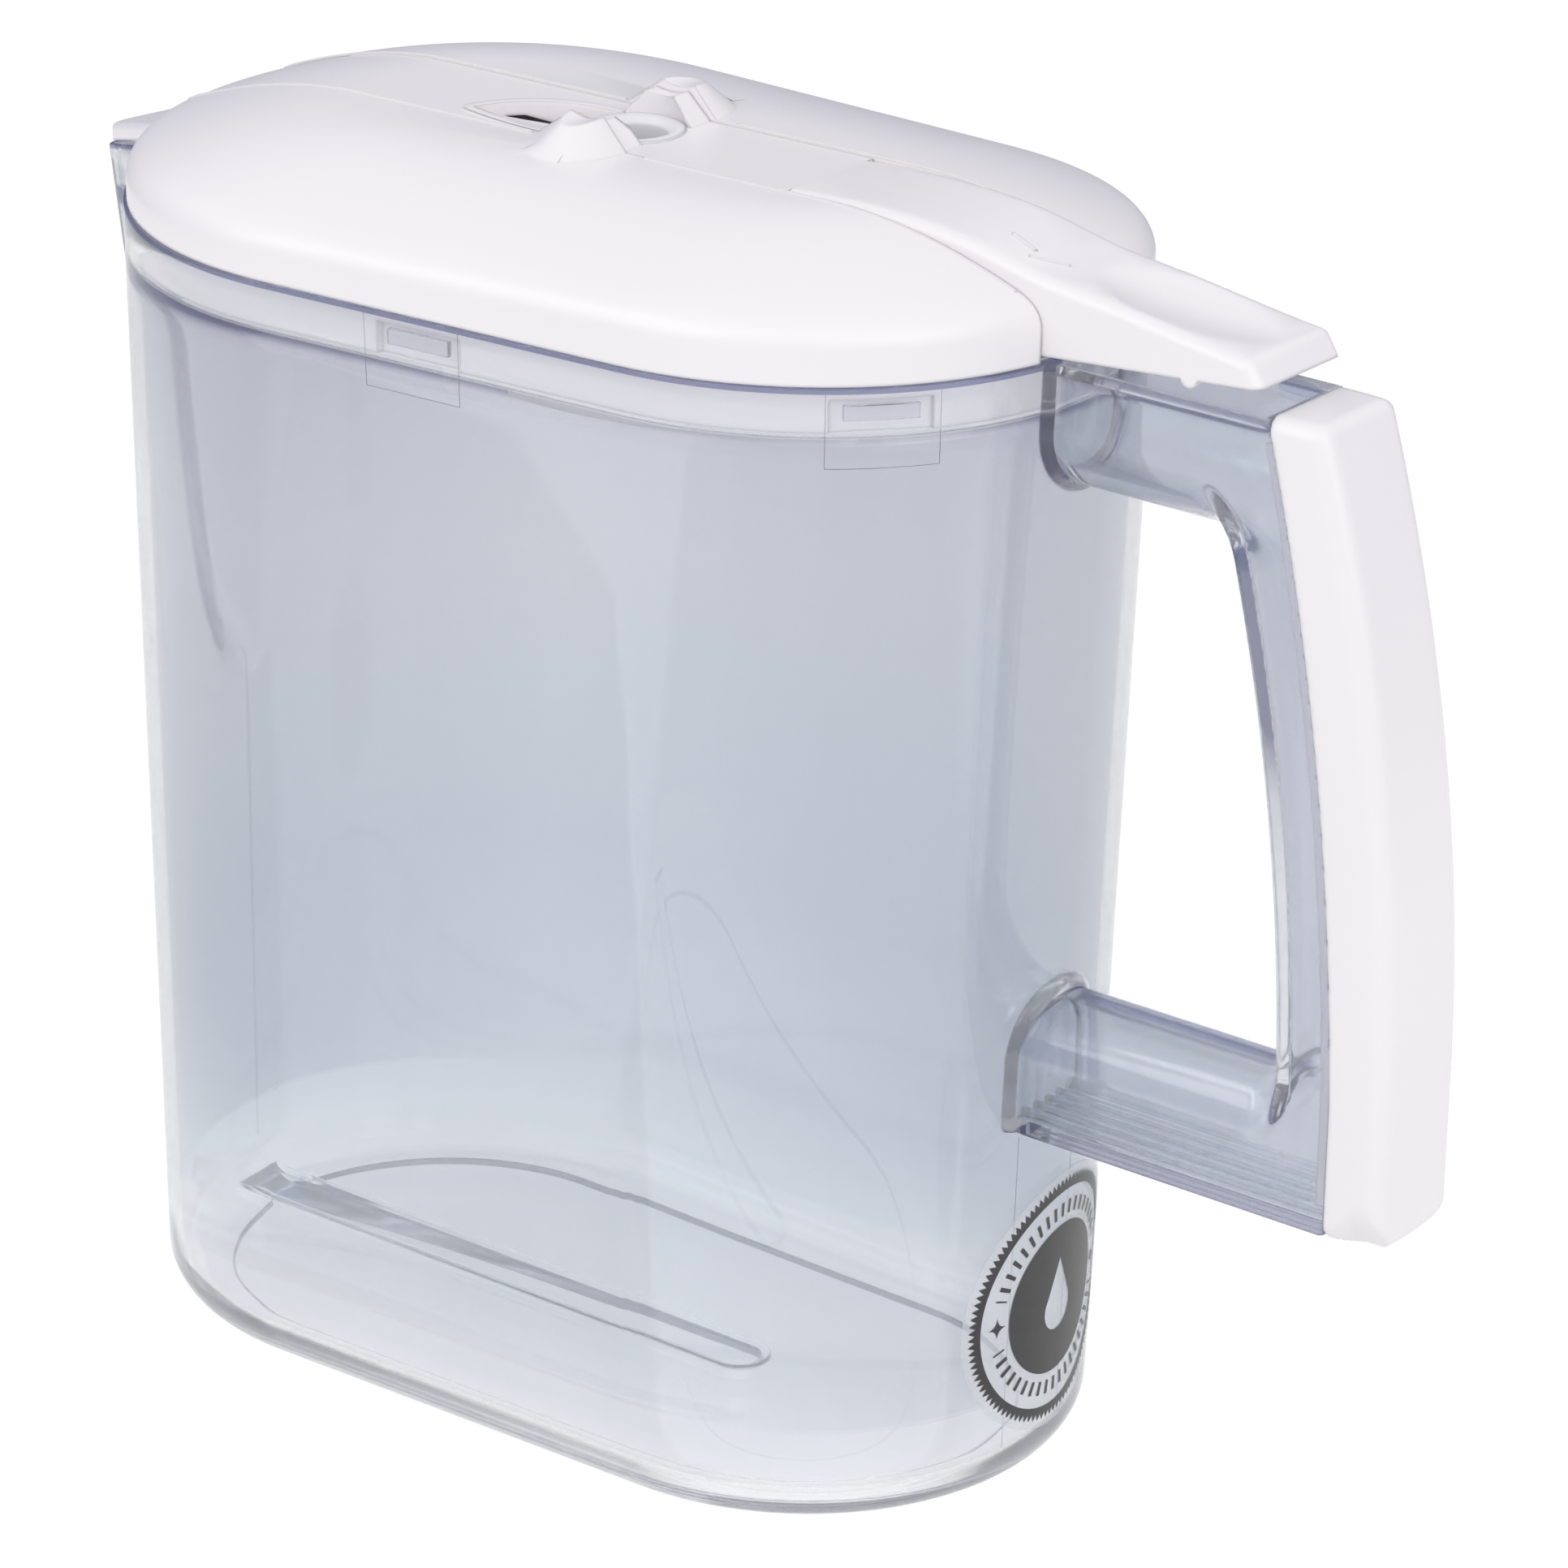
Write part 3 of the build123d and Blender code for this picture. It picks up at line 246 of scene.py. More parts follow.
# The handle gets one even tone of its own, without the height's painted light and shade.
tint_and_painted_shade = finish.node("ShaderNodeMix", {"data_type": "RGBA"}, {
    0: along > handle_start_x, 6: height_tint_and_painted_light, 7: (0.745, 0.765, 0.82, 1),
}, 2)
# Painted shade: below the skirt and above the foot, the wall darkens towards the spout end and
# towards the handle end.
painted_end_shade = finish.node("ShaderNodeValToRGB", {"stops": (
    (0.0, (0.55, 0.55, 0.55)),
    (0.20, (0.0, 0.0, 0.0)),
    (0.78, (0.0, 0.0, 0.0)),
    (1.0, (0.4, 0.4, 0.4)),
)}, {0: (along - body_start_x) * (1 / body_length)})
end_shade_below_skirt = painted_end_shade * (height < skirt_low_z) * (height > foot_top_z)
tint_and_painted_shade = finish.node("ShaderNodeMix", {"data_type": "RGBA"}, {
    0: end_shade_below_skirt * (along < handle_start_x), 6: tint_and_painted_shade, 7: (0.58, 0.60, 0.66, 1),
}, 2)
# Painted shade: a dark violet band along the top millimetre of the rim, following the spout's
# sloping lip, stands in for the shade line under the lid.
lip_drop = finish.math("MINIMUM", along - lip_start_x, 0.0) * spout_lip_slope
painted_rim_shade = (height - lip_drop > rim_height - rim_shade_depth) * (along < rim_shade_end_x)
tint = finish.node("ShaderNodeMix", {"data_type": "RGBA"}, {
    0: painted_rim_shade, 6: tint_and_painted_shade, 7: (0.16, 0.18, 0.36, 1),
}, 2)
clear = finish.node("ShaderNodeBsdfPrincipled", {}, {
    "Base Color": tint,
    "Roughness": handling * 0.03,
    "IOR": 1.5,
    "Transmission Weight": 1.0,
    "Normal": wavy,
})
light_through = finish.node("ShaderNodeBsdfTransparent", {}, {"Color": (0.93, 0.94, 0.96, 1)})
shadow = finish.node("ShaderNodeLightPath", {}, {}, "Is Shadow Ray")
scattered = finish.node("ShaderNodeLightPath", {}, {}, "Is Diffuse Ray")
passing = finish.math("MAXIMUM", shadow, scattered)
straight = passing * (1 - see_through_share) + see_through_share
wall_shown = finish.node("ShaderNodeMixShader", {}, {0: straight, 1: clear, 2: light_through})
finish.node("ShaderNodeOutputMaterial", {}, {"Surface": wall_shown})

wall = 0.0025
floor_thickness = 0.0043
base_round = 0.009
foot_width = 0.003
foot_depth = 0.0013
base_plan = (-0.042, 0.054, 0.0445, 0.0525)
rim_plan = (-0.0325, 0.0653, 0.043, 0.060)
rim_spout_end = rim_plan[0] - rim_plan[1]
spout_foot_z = 0.115
spout_sunk = 0.0028
spout_reach = 0.0272
spout_nose_r = 0.005
spout_depth = 0.024
spout_half_angle = radians(29.5)
spout_blend = 0.0045
spout_toe_slope = 0.02
plan_centre_x = -0.010
furthest = 0.16
edge_r = 0.0004
ledge_z = 0.2106
ledge_step = 0.0006
ledge_run = 0.0045
spout_turn = 0.42


def wall_distance(x, y, z):
    """How far a point lies outside the jug's wall, seen in plan at its height."""
    share = z / rim_height
    spout_x, spout_r, handle_x, handle_r = (
        low + (high - low) * share for low, high in zip(base_plan, rim_plan)
    )
    lean = (spout_r - handle_r) / (handle_x - spout_x)
    level = np.sqrt(1 - lean * lean)
    along = x - spout_x
    side = np.abs(y)
    foot = along * level - side * lean
    body = np.where(
        foot < 0,
        np.hypot(along, side) - spout_r,
        np.where(
            foot > (handle_x - spout_x) * level,
            np.hypot(x - handle_x, side) - handle_r,
            along * lean + side * level - spout_r,
        ),
    )
    rise = (z - spout_foot_z) / (rim_height - spout_foot_z)
    nose_x = rim_spout_end + spout_sunk
    nose_x = nose_x - (spout_reach + spout_sunk) * np.sqrt(np.maximum(rise, 0))
    nose_x = nose_x - np.minimum(rise, 0) * spout_toe_slope
    ahead = x - nose_x - spout_nose_r
    outside = ahead * cos(spout_half_angle) + side * sin(spout_half_angle) < 0
    cheek = side * cos(spout_half_angle) - ahead * sin(spout_half_angle)
    spout = np.where(outside, np.hypot(ahead, side), cheek) - spout_nose_r
    spout = np.maximum(spout, x - rim_spout_end - spout_depth)
    overlap = np.maximum(spout_blend - np.abs(body - spout), 0) / spout_blend
    return np.minimum(body, spout) - overlap * overlap * spout_blend / 4


def wall_radius(angle, z, inset):
    """Distance from the plan's centre to the wall, moved inwards by inset."""
    near = np.zeros_like(angle)
    beyond = np.full_like(angle, furthest)
    for _ in range(26):
        middle = (near + beyond) / 2
        x = plan_centre_x + middle * np.cos(angle)
        inside = wall_distance(x, middle * np.sin(angle), z) < -inset
        near = np.where(inside, middle, near)
        beyond = np.where(inside, beyond, middle)
    return near


def jug_ring(angle, inset, height, from_rim):
    """One ring of the wall. Heights from the rim follow the spout's sloping lip."""
    z = np.full_like(angle, height)
    for _ in range(2):
        radius = wall_radius(angle, z, inset)
        x = plan_centre_x + radius * np.cos(angle)
        lip = rim_height + np.minimum(x - rim_spout_end, 0) * spout_lip_slope
        z = height + (lip - rim_height) * from_rim
    return [Vector(corner) for corner in zip(x, radius * np.sin(angle), z)]


def quarter(steps, start_inset, start_z, end_inset, end_z, upright_first):
    """Rings of a rounded edge between two points of the wall's section."""
    rings = []
    for step in range(1, steps):
        turn = pi / 2 * step / steps
        rise, run = (sin(turn), 1 - cos(turn)) if upright_first else (1 - cos(turn), sin(turn))
        inset = start_inset + (end_inset - start_inset) * run
        rings.append((inset, start_z + (end_z - start_z) * rise, 0.0))
    return rings


spout_angles = np.linspace(-spout_turn, spout_turn, 107) + pi
body_angles = np.linspace(pi + spout_turn, 3 * pi - spout_turn, 200)[1:-1]
jug_angles = np.concatenate((spout_angles, body_angles))
section = [
    (base_round + foot_width, foot_depth, 0.0),
    (base_round + foot_width, 0.0, 0.0),
    (base_round, 0.0, 0.0),
]
section += quarter(9, base_round, 0.0, 0.0, base_round, False)
for z in np.linspace(base_round, rim_height - edge_r, 46):
    section.append((0.0, z, float(((z - base_round) / (rim_height - base_round)) ** 2)))
section += [(edge_r / 4, rim_height - edge_r / 4, 1.0), (edge_r, rim_height, 1.0)]
section += [(wall - edge_r, rim_height, 1.0), (wall - edge_r / 4, rim_height - edge_r / 4, 1.0)]
inner_foot = floor_thickness + base_round - wall
wall_levels = list(np.linspace(rim_height - edge_r, ledge_z + 0.0002, 5))
wall_levels += [ledge_z - step for step in (0.0, 0.0002, 0.0006, 0.0012, 0.002, 0.0032, ledge_run)]
wall_levels += list(np.linspace(ledge_z - 0.008, inner_foot, 38))
for z in wall_levels:
    below = (ledge_z - z) / ledge_run
    ledge = ledge_step * (1 - below) ** 2 if 0 < below < 1 else 0.0
    section.append((wall + ledge, z, float(((z - inner_foot) / (rim_height - inner_foot)) ** 2)))
section += quarter(8, wall, inner_foot, base_round, floor_thickness, True)
section += [(base_round, floor_thickness, 0.0)]


def new_piece(name, shape):
    """A piece with a finished shape's mesh, at the origin."""
    mesh = bpy.data.meshes.new(name)
    shape.to_mesh(mesh)
    shape.free()
    piece = bpy.data.objects.new(name, mesh)
    bpy.context.scene.collection.objects.link(piece)
    return piece


shape = bmesh.new()
rings = []
for inset, height, from_rim in section:
    corners = jug_ring(jug_angles, inset, height, from_rim)
    rings.append([shape.verts.new(corner) for corner in corners])
count = len(jug_angles)
for low, high in zip(rings, rings[1:]):
    for k in range(count):
        shape.faces.new((low[k], low[(k + 1) % count], high[(k + 1) % count], high[k]))
shape.faces.new(rings[0][::-1])
shape.faces.new(rings[-1])
bmesh.ops.recalc_face_normals(shape, faces=shape.faces)
jug = new_piece("jug_moulding", shape)

# Guide groove: a slot along the underside of the jug's floor, open towards
# the spout, and the low rib that covers it inside. Both are part of the
# jug's moulding.
groove_start_x = -0.0978
groove_end_x = 0.0295
groove_half = 0.0043
groove_mouth_half = 0.0085
groove_flare = 0.010
groove_top_z = 0.0034
groove_rib_start_x = -0.091
groove_rib_half = groove_half + 0.0016
groove_rib_z = (0.003, 0.005)
cut_below = 0.001


def slot_block(name, start_x, half, mouth_half, low, high):
    """An upright block with a round end, wider at its start, for the groove."""
    turns = [pi / 2 - pi * k / 24 for k in range(25)]
    outline = [(groove_end_x + half * cos(t), half * sin(t)) for t in turns]
    outline += [(start_x + groove_flare, -half), (start_x, -mouth_half)]
    outline += [(start_x, mouth_half), (start_x + groove_flare, half)]
    shape = bmesh.new()
    base = shape.faces.new([shape.verts.new((x, y, low)) for x, y in outline])
    top = bmesh.ops.extrude_face_region(shape, geom=[base])
    corners = [part for part in top["geom"] if isinstance(part, bmesh.types.BMVert)]
    bmesh.ops.translate(shape, verts=corners, vec=(0, 0, high - low))
    bmesh.ops.recalc_face_normals(shape, faces=shape.faces)
    return new_piece(name, shape)


def combine(piece, block, operation):
    """Joins a block to a piece or cuts it out of it, and removes the block."""
    step = piece.modifiers.new("step", "BOOLEAN")
    step.operation = operation
    step.solver = "EXACT"
    step.object = block
    view = bpy.context.evaluated_depsgraph_get()
    result = bpy.data.meshes.new_from_object(piece.evaluated_get(view))
    piece.modifiers.clear()
    piece.data = result
    bpy.data.objects.remove(block)


combine(jug, slot_block(
    "groove_rib", groove_rib_start_x, groove_rib_half, groove_rib_half, *groove_rib_z
), "UNION")
combine(jug, slot_block(
    "groove", groove_start_x, groove_half, groove_mouth_half, -cut_below, groove_top_z
), "DIFFERENCE")

# Handle: two hollow arms and a grip that is open towards its white cover,
# moulded in one with the jug. The upper arm is flat on top and the lower one
# below, with five ribs along its floor, and a bead runs around each root.
handle_half = 0.0115
handle_wall = 0.0023
lower_arm = (0.0755, 0.1000)
upper_arm = (rim_height, 0.1960)
grip_inner = ((0.1324, 0.2198), (0.1480, 0.1580), (0.1534, 0.0980))
grip_seam = ((0.1465, 0.2198), (0.1590, 0.1620), (0.1650, 0.1000))
grip_edge_r = 0.0014
grip_blend = 0.0062
arm_blend = 0.006
shell_edge = 0.0004
seam_edge = 0.0006
bead_r = 0.0014
bead_out = -0.0001
bead_swell_low = 0.0007
bead_swell_high = 0.0002
bead_swell_start = 0.007
bead_swell_run = 0.006
bead_overrun = 0.05
bead_end = 0.0012
bead_under_rim = 0.0005
bead_blend = 0.0012
sunk_in_wall = 0.0011
handle_box = ((0.0945, -0.0145, 0.0718), (0.1668, 0.0145, 0.2222))
handle_step = 0.00072


def surface_mesh(name, distance, low, high, step):
    """A closed mesh of the surface where a distance function is zero."""
    axes = [np.arange(start, end + step, step) for start, end in zip(low, high)]
    field = distance(*np.meshgrid(*axes, indexing="ij"))
    cells = tuple(size - 1 for size in field.shape)
    total = np.zeros((*cells, 3))
    hits = np.zeros(cells)
    for axis in range(3):
        others = [k for k in range(3) if k != axis]
        for offsets in ((0, 0), (0, 1), (1, 0), (1, 1)):
            start = [0, 0, 0]
            for other, offset in zip(others, offsets):
                start[other] = offset
            end = list(start)
            end[axis] = 1
            first = field[tuple(slice(s, s + c) for s, c in zip(start, cells))]
            second = field[tuple(slice(s, s + c) for s, c in zip(end, cells))]
            crossed = (first < 0) != (second < 0)
            share = np.where(crossed, first / np.where(crossed, first - second, 1), 0)
            hits += crossed
            for k in range(3):
                total[..., k] += crossed * (share if k == axis else start[k])
    used = hits > 0
    number = np.full(cells, -1)
    number[used] = np.arange(used.sum())
    corners = np.argwhere(used) + total[used] / hits[used][:, None]
    points = np.array(low) + corners * step
    small = step / 20
    least_slope = 0.2
    for _ in range(4):
        x, y, z = points.T
        here = distance(x, y, z)
        slope = np.stack((
            distance(x + small, y, z) - distance(x - small, y, z),
            distance(x, y + small, z) - distance(x, y - small, z),
            distance(x, y, z + small) - distance(x, y, z - small),
        ), 1) / (2 * small)
        steepness = np.maximum((slope ** 2).sum(1), least_slope)
        move = -here[:, None] * slope / steepness[:, None]
        points = points + np.clip(move, -step / 3, step / 3)
    quads = []
    for axis in range(3):
        after, last = (axis + 1) % 3, (axis + 2) % 3
        span = [slice(1, -1)] * 3
        span[axis] = slice(0, -1)
        ahead = [slice(1, -1)] * 3
        ahead[axis] = slice(1, None)
        here = field[tuple(span)] < 0
        crossed = here != (field[tuple(ahead)] < 0)
        places = np.argwhere(crossed)
        for k in range(3):
            if k != axis:
                places[:, k] += 1
        turns = []
        for step_after, step_last in ((0, 0), (-1, 0), (-1, -1), (0, -1)):
            cell = places.copy()
            cell[:, after] += step_after
            cell[:, last] += step_last
            turns.append(number[tuple(cell.T)])
        faces = np.stack(turns, 1)
        outward = here[crossed]
        quads.append(np.where(outward[:, None], faces, faces[:, ::-1]))
    mesh = bpy.data.meshes.new(name)
    mesh.from_pydata(points.tolist(), [], np.concatenate(quads).tolist())
    made = bpy.data.objects.new(name, mesh)
    bpy.context.scene.collection.objects.link(made)
    return made


def eased_lowest(first, second, blend):
    """Union of two distances with a rounded inner corner."""
    overlap = np.maximum(blend - np.abs(first - second), 0) / blend
    return np.minimum(first, second) - overlap * overlap * blend / 4


def eased_highest(first, second, blend):
    """Common part of two distances with a rounded edge."""
    return -eased_lowest(-first, -second, blend)


def past_curve(x, z, through):
    """Distance outwards from a curve of the side view.

    The curve is the circle through three points, and straight down from the last.
    """
    (ax, az), (bx, bz), (cx, cz) = through
    twice = 2 * (ax * (bz - cz) + bx * (cz - az) + cx * (az - bz))
    first, second, third = ax * ax + az * az, bx * bx + bz * bz, cx * cx + cz * cz
    centre_x = (first * (bz - cz) + second * (cz - az) + third * (az - bz)) / twice
    centre_z = (first * (cx - bx) + second * (ax - cx) + third * (bx - ax)) / twice
    radius = sqrt((ax - centre_x) ** 2 + (az - centre_z) ** 2)
    return np.where(z < cz, x - cx, np.hypot(x - centre_x, z - centre_z) - radius)


def arm_distance(y, z, flat_z, round_z, half):
    """Section of an arm, flat on one side and half round on the other."""
    grows = 1 if round_z > flat_z else -1
    rise = (z - round_z) * grows + handle_half
    side = np.abs(y)
    depth = abs(round_z - flat_z) - handle_half
    return np.where(rise > 0, np.hypot(side, rise) - half, np.maximum(side - half, -rise - depth))


def handle_distance(x, y, z):
    """The hollow handle, open towards its cover, with the beads at its roots."""
    side = np.abs(y)
    outside_wall = wall_distance(x, y, z)
    inner = -past_curve(x, z, grip_inner)
    reach_x = np.maximum(inner + grip_edge_r, 0)
    reach_y = np.maximum(side - handle_half + grip_edge_r, 0)
    square = np.maximum(inner, side - handle_half)
    rounded = np.hypot(reach_x, reach_y) - grip_edge_r
    upright = np.where((reach_x > 0) & (reach_y > 0), rounded, square)
    low = arm_distance(y, z, *lower_arm, handle_half)
    high = arm_distance(y, z, *upper_arm, handle_half)
    outer = eased_lowest(eased_lowest(low, high, arm_blend), upright, grip_blend)
    flats = np.maximum(z - rim_height, lower_arm[0] - z)
    outer = np.maximum(outer, np.maximum(side - handle_half, flats))
    shell = eased_highest(outer, -(outer + handle_wall), shell_edge)
    shell = eased_highest(shell, past_curve(x, z, grip_seam), seam_edge)
    bead = np.full_like(shell, 1.0)
    for flat_z, round_z in (lower_arm, upper_arm):
        grows = 1 if round_z > flat_z else -1
        around = arm_distance(y, z, flat_z - grows * bead_overrun, round_z, handle_half + bead_out)
        past_end = np.maximum((flat_z - z) * grows + bead_end, 0)
        swell = np.clip(((z - round_z) * grows + bead_swell_start) / bead_swell_run, 0, 1)
        thicker = swell * (bead_swell_low if grows > 0 else bead_swell_high)
        ring = np.sqrt(around ** 2 + outside_wall ** 2 + past_end ** 2) - bead_r - thicker
        bead = np.minimum(bead, ring)
    bead = eased_highest(bead, z - rim_height + bead_under_rim, shell_edge)
    joined = eased_lowest(shell, bead, bead_blend)
    return np.maximum(joined, -outside_wall - sunk_in_wall)


def geometry_tree(name, inputs, nodes, links):
    """A Geometry Nodes tree with named inputs, ending in one real mesh."""
    tree = bpy.data.node_groups.new(name, "GeometryNodeTree")
    for label, kind in (*inputs, ("Finish", "NodeSocketMaterial")):
        tree.interface.new_socket(label, in_out="INPUT", socket_type=kind)
    tree.interface.new_socket("Made", in_out="OUTPUT", socket_type="NodeSocketGeometry")
    made = {}
    for label, kind, values in (
        ("given", "NodeGroupInput", {}),
        *nodes,
        ("real", "GeometryNodeRealizeInstances", {}),
        ("painted", "GeometryNodeSetMaterial", {}),
        ("result", "NodeGroupOutput", {}),
    ):
        made[label] = tree.nodes.new(kind)
        for socket, value in values.items():
            made[label].inputs[socket].default_value = value
    for source, output, target, entry in (
        *links,
        ("real", "Geometry", "painted", "Geometry"),
        ("given", "Finish", "painted", "Material"),
        ("painted", "Geometry", "result", "Made"),
    ):
        tree.links.new(made[source].outputs[output], made[target].inputs[entry])
    return tree


def grow(piece, tree, values):
    """Runs a tree on a piece and keeps the result as its plain mesh."""
    sockets = {
        item.name: item.identifier
        for item in tree.interface.items_tree if item.in_out == "INPUT"
    }
    step = piece.modifiers.new(tree.name, "NODES")
    step.node_group = tree
    for label, value in values.items():
        step[sockets[label]] = value
    view = bpy.context.evaluated_depsgraph_get()
    piece.data = bpy.data.meshes.new_from_object(piece.evaluated_get(view))
    piece.modifiers.clear()


def smoothed(piece, crease, material):
    """Shades a piece smooth up to a crease in degrees, and gives its material."""
    for attribute in [a for a in piece.data.attributes if a.name == "custom_normal"]:
        piece.data.attributes.remove(attribute)
    piece.data.shade_smooth()
    piece.data.set_sharp_from_angle(angle=radians(crease))
    piece.data.materials.clear()
    piece.data.materials.append(material)


combine(jug, surface_mesh("handle", handle_distance, *handle_box, handle_step), "UNION")
rib_tree = geometry_tree("arm_ribs", (
    ("Count", "NodeSocketInt"),
    ("First", "NodeSocketVector"),
    ("Pitch", "NodeSocketVector"),
    ("Size", "NodeSocketVector"),
), (
    ("row", "GeometryNodeMeshLine", {}),
    ("rib", "GeometryNodeMeshCube", {}),
    ("ribs", "GeometryNodeInstanceOnPoints", {}),
), (
    ("given", "Count", "row", "Count"),
    ("given", "First", "row", "Start Location"),
    ("given", "Pitch", "row", "Offset"),
    ("given", "Size", "rib", "Size"),
    ("row", "Mesh", "ribs", "Points"),
    ("rib", "Mesh", "ribs", "Instance"),
    ("ribs", "Instances", "real", "Geometry"),
))
rib_count = 5
rib_pitch = 0.0034
rib_width = 0.0013
rib_ends = (0.0976, 0.1627)
rib_heights = (0.0768, 0.0789)
ribs = bpy.data.objects.new("arm_ribs", bpy.data.meshes.new("arm_ribs"))
bpy.context.scene.collection.objects.link(ribs)
grow(ribs, rib_tree, {
    "Count": rib_count,
    "First": (
        (rib_ends[0] + rib_ends[1]) / 2,
        -(rib_count - 1) / 2 * rib_pitch,
        (rib_heights[0] + rib_heights[1]) / 2,
    ),
    "Pitch": (0.0, rib_pitch, 0.0),
    "Size": (rib_ends[1] - rib_ends[0], rib_width, rib_heights[1] - rib_heights[0]),
    "Finish": clear_plastic,
})
combine(jug, ribs, "UNION")
smoothed(jug, 32, clear_plastic)
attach(jug, "jug")
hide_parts("jug_body")

# Snap bumps: four shallow bumps inside the rim, of the same clear moulding,
# that the lid's skirt clicks past.
bumps_from_x = -0.03
bumps_from_z = 0.205
bump_middle = 0.2126
bump_lift = 0.0022
bump_height = 0.75
bump_proud = 0.0001
weld = 2e-6


def node_shape(node):
    """The shape of a CAD node, with its corners merged."""
    shape = bmesh.new()
    shape.from_mesh(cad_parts[node].data)
    bmesh.ops.remove_doubles(shape, verts=shape.verts, dist=weld)
    return shape


shape = node_shape("jug_body")
middles = [face.calc_center_median() for face in shape.faces]
outside = wall_distance(*(np.array([getattr(m, axis) for m in middles]) for axis in "xyz"))
bmesh.ops.delete(shape, geom=[
    face for face, m, distance in zip(shape.faces, middles, outside)
    if not (m.z > bumps_from_z and m.x > bumps_from_x and distance < -wall - bump_proud)
], context="FACES")
open_edges = [edge for edge in shape.edges if edge.is_boundary]
bmesh.ops.holes_fill(shape, edges=open_edges, sides=0)
for corner in shape.verts:
    corner.co.z = bump_middle + bump_lift + (corner.co.z - bump_middle) * bump_height
bumps = new_piece("snap_bumps", shape)
smoothed(bumps, 28, clear_plastic)
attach(bumps, "jug")

# Witness marks: the fine raised lines that the mould's parting and its four
# latch inserts leave on the clear wall.
line_tree = geometry_tree("swept_line", (
    ("Path", "NodeSocketGeometry"),
    ("Radius", "NodeSocketFloat"),
), (
    ("path", "GeometryNodeMeshToCurve", {}),
    ("profile", "GeometryNodeCurvePrimitiveCircle", {"Resolution": 8}),
    ("sweep", "GeometryNodeCurveToMesh", {"Fill Caps": True}),
), (
    ("given", "Path", "path", "Mesh"),
    ("given", "Radius", "profile", "Radius"),
    ("path", "Curve", "sweep", "Curve"),
    ("profile", "Curve", "sweep", "Profile Curve"),
    ("sweep", "Mesh", "real", "Geometry"),
))


def swept(name, lines, radius, material, body):
    """Round lines along lists of points, made one plain mesh."""
    corners, edges = [], []
    for line in lines:
        edges += [(len(corners) + k, len(corners) + k + 1) for k in range(len(line) - 1)]
        corners += line
    path = bpy.data.meshes.new(name)
    path.from_pydata(corners, edges, [])
    made = bpy.data.objects.new(name, path)
    bpy.context.scene.collection.objects.link(made)
    grow(made, line_tree, {"Radius": radius, "Finish": material})
    made.data.shade_smooth()
    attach(made, body)
    return made


def on_wall(x, y, z, turn):
    """The point of the wall's outside that lies from (x, y) in one direction."""
    near, beyond = 0.0, 0.2
    for _ in range(30):
        middle = (near + beyond) / 2
        at_x, at_y = x + middle * cos(turn), y + middle * sin(turn)
        if wall_distance(np.array(at_x), np.array(at_y), np.array(z)) < 0:
            near = middle
        else:
            beyond = middle
    return Vector((x + near * cos(turn), y + near * sin(turn), z))


mark_r = 0.00007
mark_half = 0.010
mark_low = 0.2055
mark_high = 0.2188
side_mark_x = 0.004
end_mark_turn = radians(41)
end_line_y = 0.0083
end_line_heights = (0.0095, 0.0730)
spout_line_y = 0.002
spout_line_heights = (0.0115, 0.1150)
parting_lines = []
for side in (1, -1):
    along_side = [
        (side_mark_x + mark_half * share, 0.0, side * pi / 2) for share in np.linspace(-1, 1, 9)
    ]
    around_end = [
        (rim_plan[2], 0.0, side * (end_mark_turn + share * mark_half / rim_plan[3]))
        for share in np.linspace(-1, 1, 13)
    ]
    for across in (along_side, around_end):
        (first_x, first_y, first_turn), (last_x, last_y, last_turn) = across[0], across[-1]
        falling = np.linspace(mark_high, mark_low, 6)[:-1]
        rising = np.linspace(mark_low, mark_high, 6)[1:]
        mark = [on_wall(first_x, first_y, z, first_turn) for z in falling]
        mark += [on_wall(x, y, mark_low, turn) for x, y, turn in across]
        mark += [on_wall(last_x, last_y, z, last_turn) for z in rising]
        parting_lines.append(mark)
    parting_lines.append([
        on_wall(rim_plan[2] - 0.01, side * end_line_y, z, 0.0)
        for z in np.linspace(*end_line_heights, 24)
    ])
parting_lines.append([
    on_wall(-0.04, spout_line_y, z, pi) for z in np.linspace(*spout_line_heights, 28)
])
swept("witness_marks", parting_lines, mark_r, clear_plastic, "jug")


# Grip cover: white moulded shell, snapped over the handle's outer side by two
# lips. Like the lid it is a semi-gloss plastic with softly rounded edges.
def white_moulding(name, colour, gloss):
    """White moulded plastic: rounded edges, faint sink marks, fine sheen."""
    material, finish = new_finish(name)
    place = finish.node("ShaderNodeTexCoord", {}, {}, "Object")
    sink = finish.node("ShaderNodeTexNoise", {}, {"Vector": place, "Scale": 24.0, "Detail": 1.0})
    skin = finish.node("ShaderNodeTexNoise", {}, {"Vector": place, "Scale": 900.0, "Detail": 2.0})
    soft_edge = finish.node("ShaderNodeBevel", {"samples": 6}, {"Radius": 0.0011})
    height = sink * 0.6 + skin * 0.05
    surface = finish.node("ShaderNodeBump", {}, {
        "Height": height, "Strength": 0.1, "Distance": 0.0006, "Normal": soft_edge,
    })
    tint = finish.node("ShaderNodeMix", {"data_type": "RGBA"}, {
        0: sink,
        6: (*colour, 1),
        7: (colour[0] * 0.985, colour[1] * 0.98, colour[2] * 0.985, 1),
    }, 2)
    plastic = finish.node("ShaderNodeBsdfPrincipled", {}, {
        "Base Color": tint,
        "Roughness": skin * 0.08 + gloss,
        "IOR": 1.5,
        "Normal": surface,
    })
    finish.node("ShaderNodeOutputMaterial", {}, {"Surface": plastic})
    return material


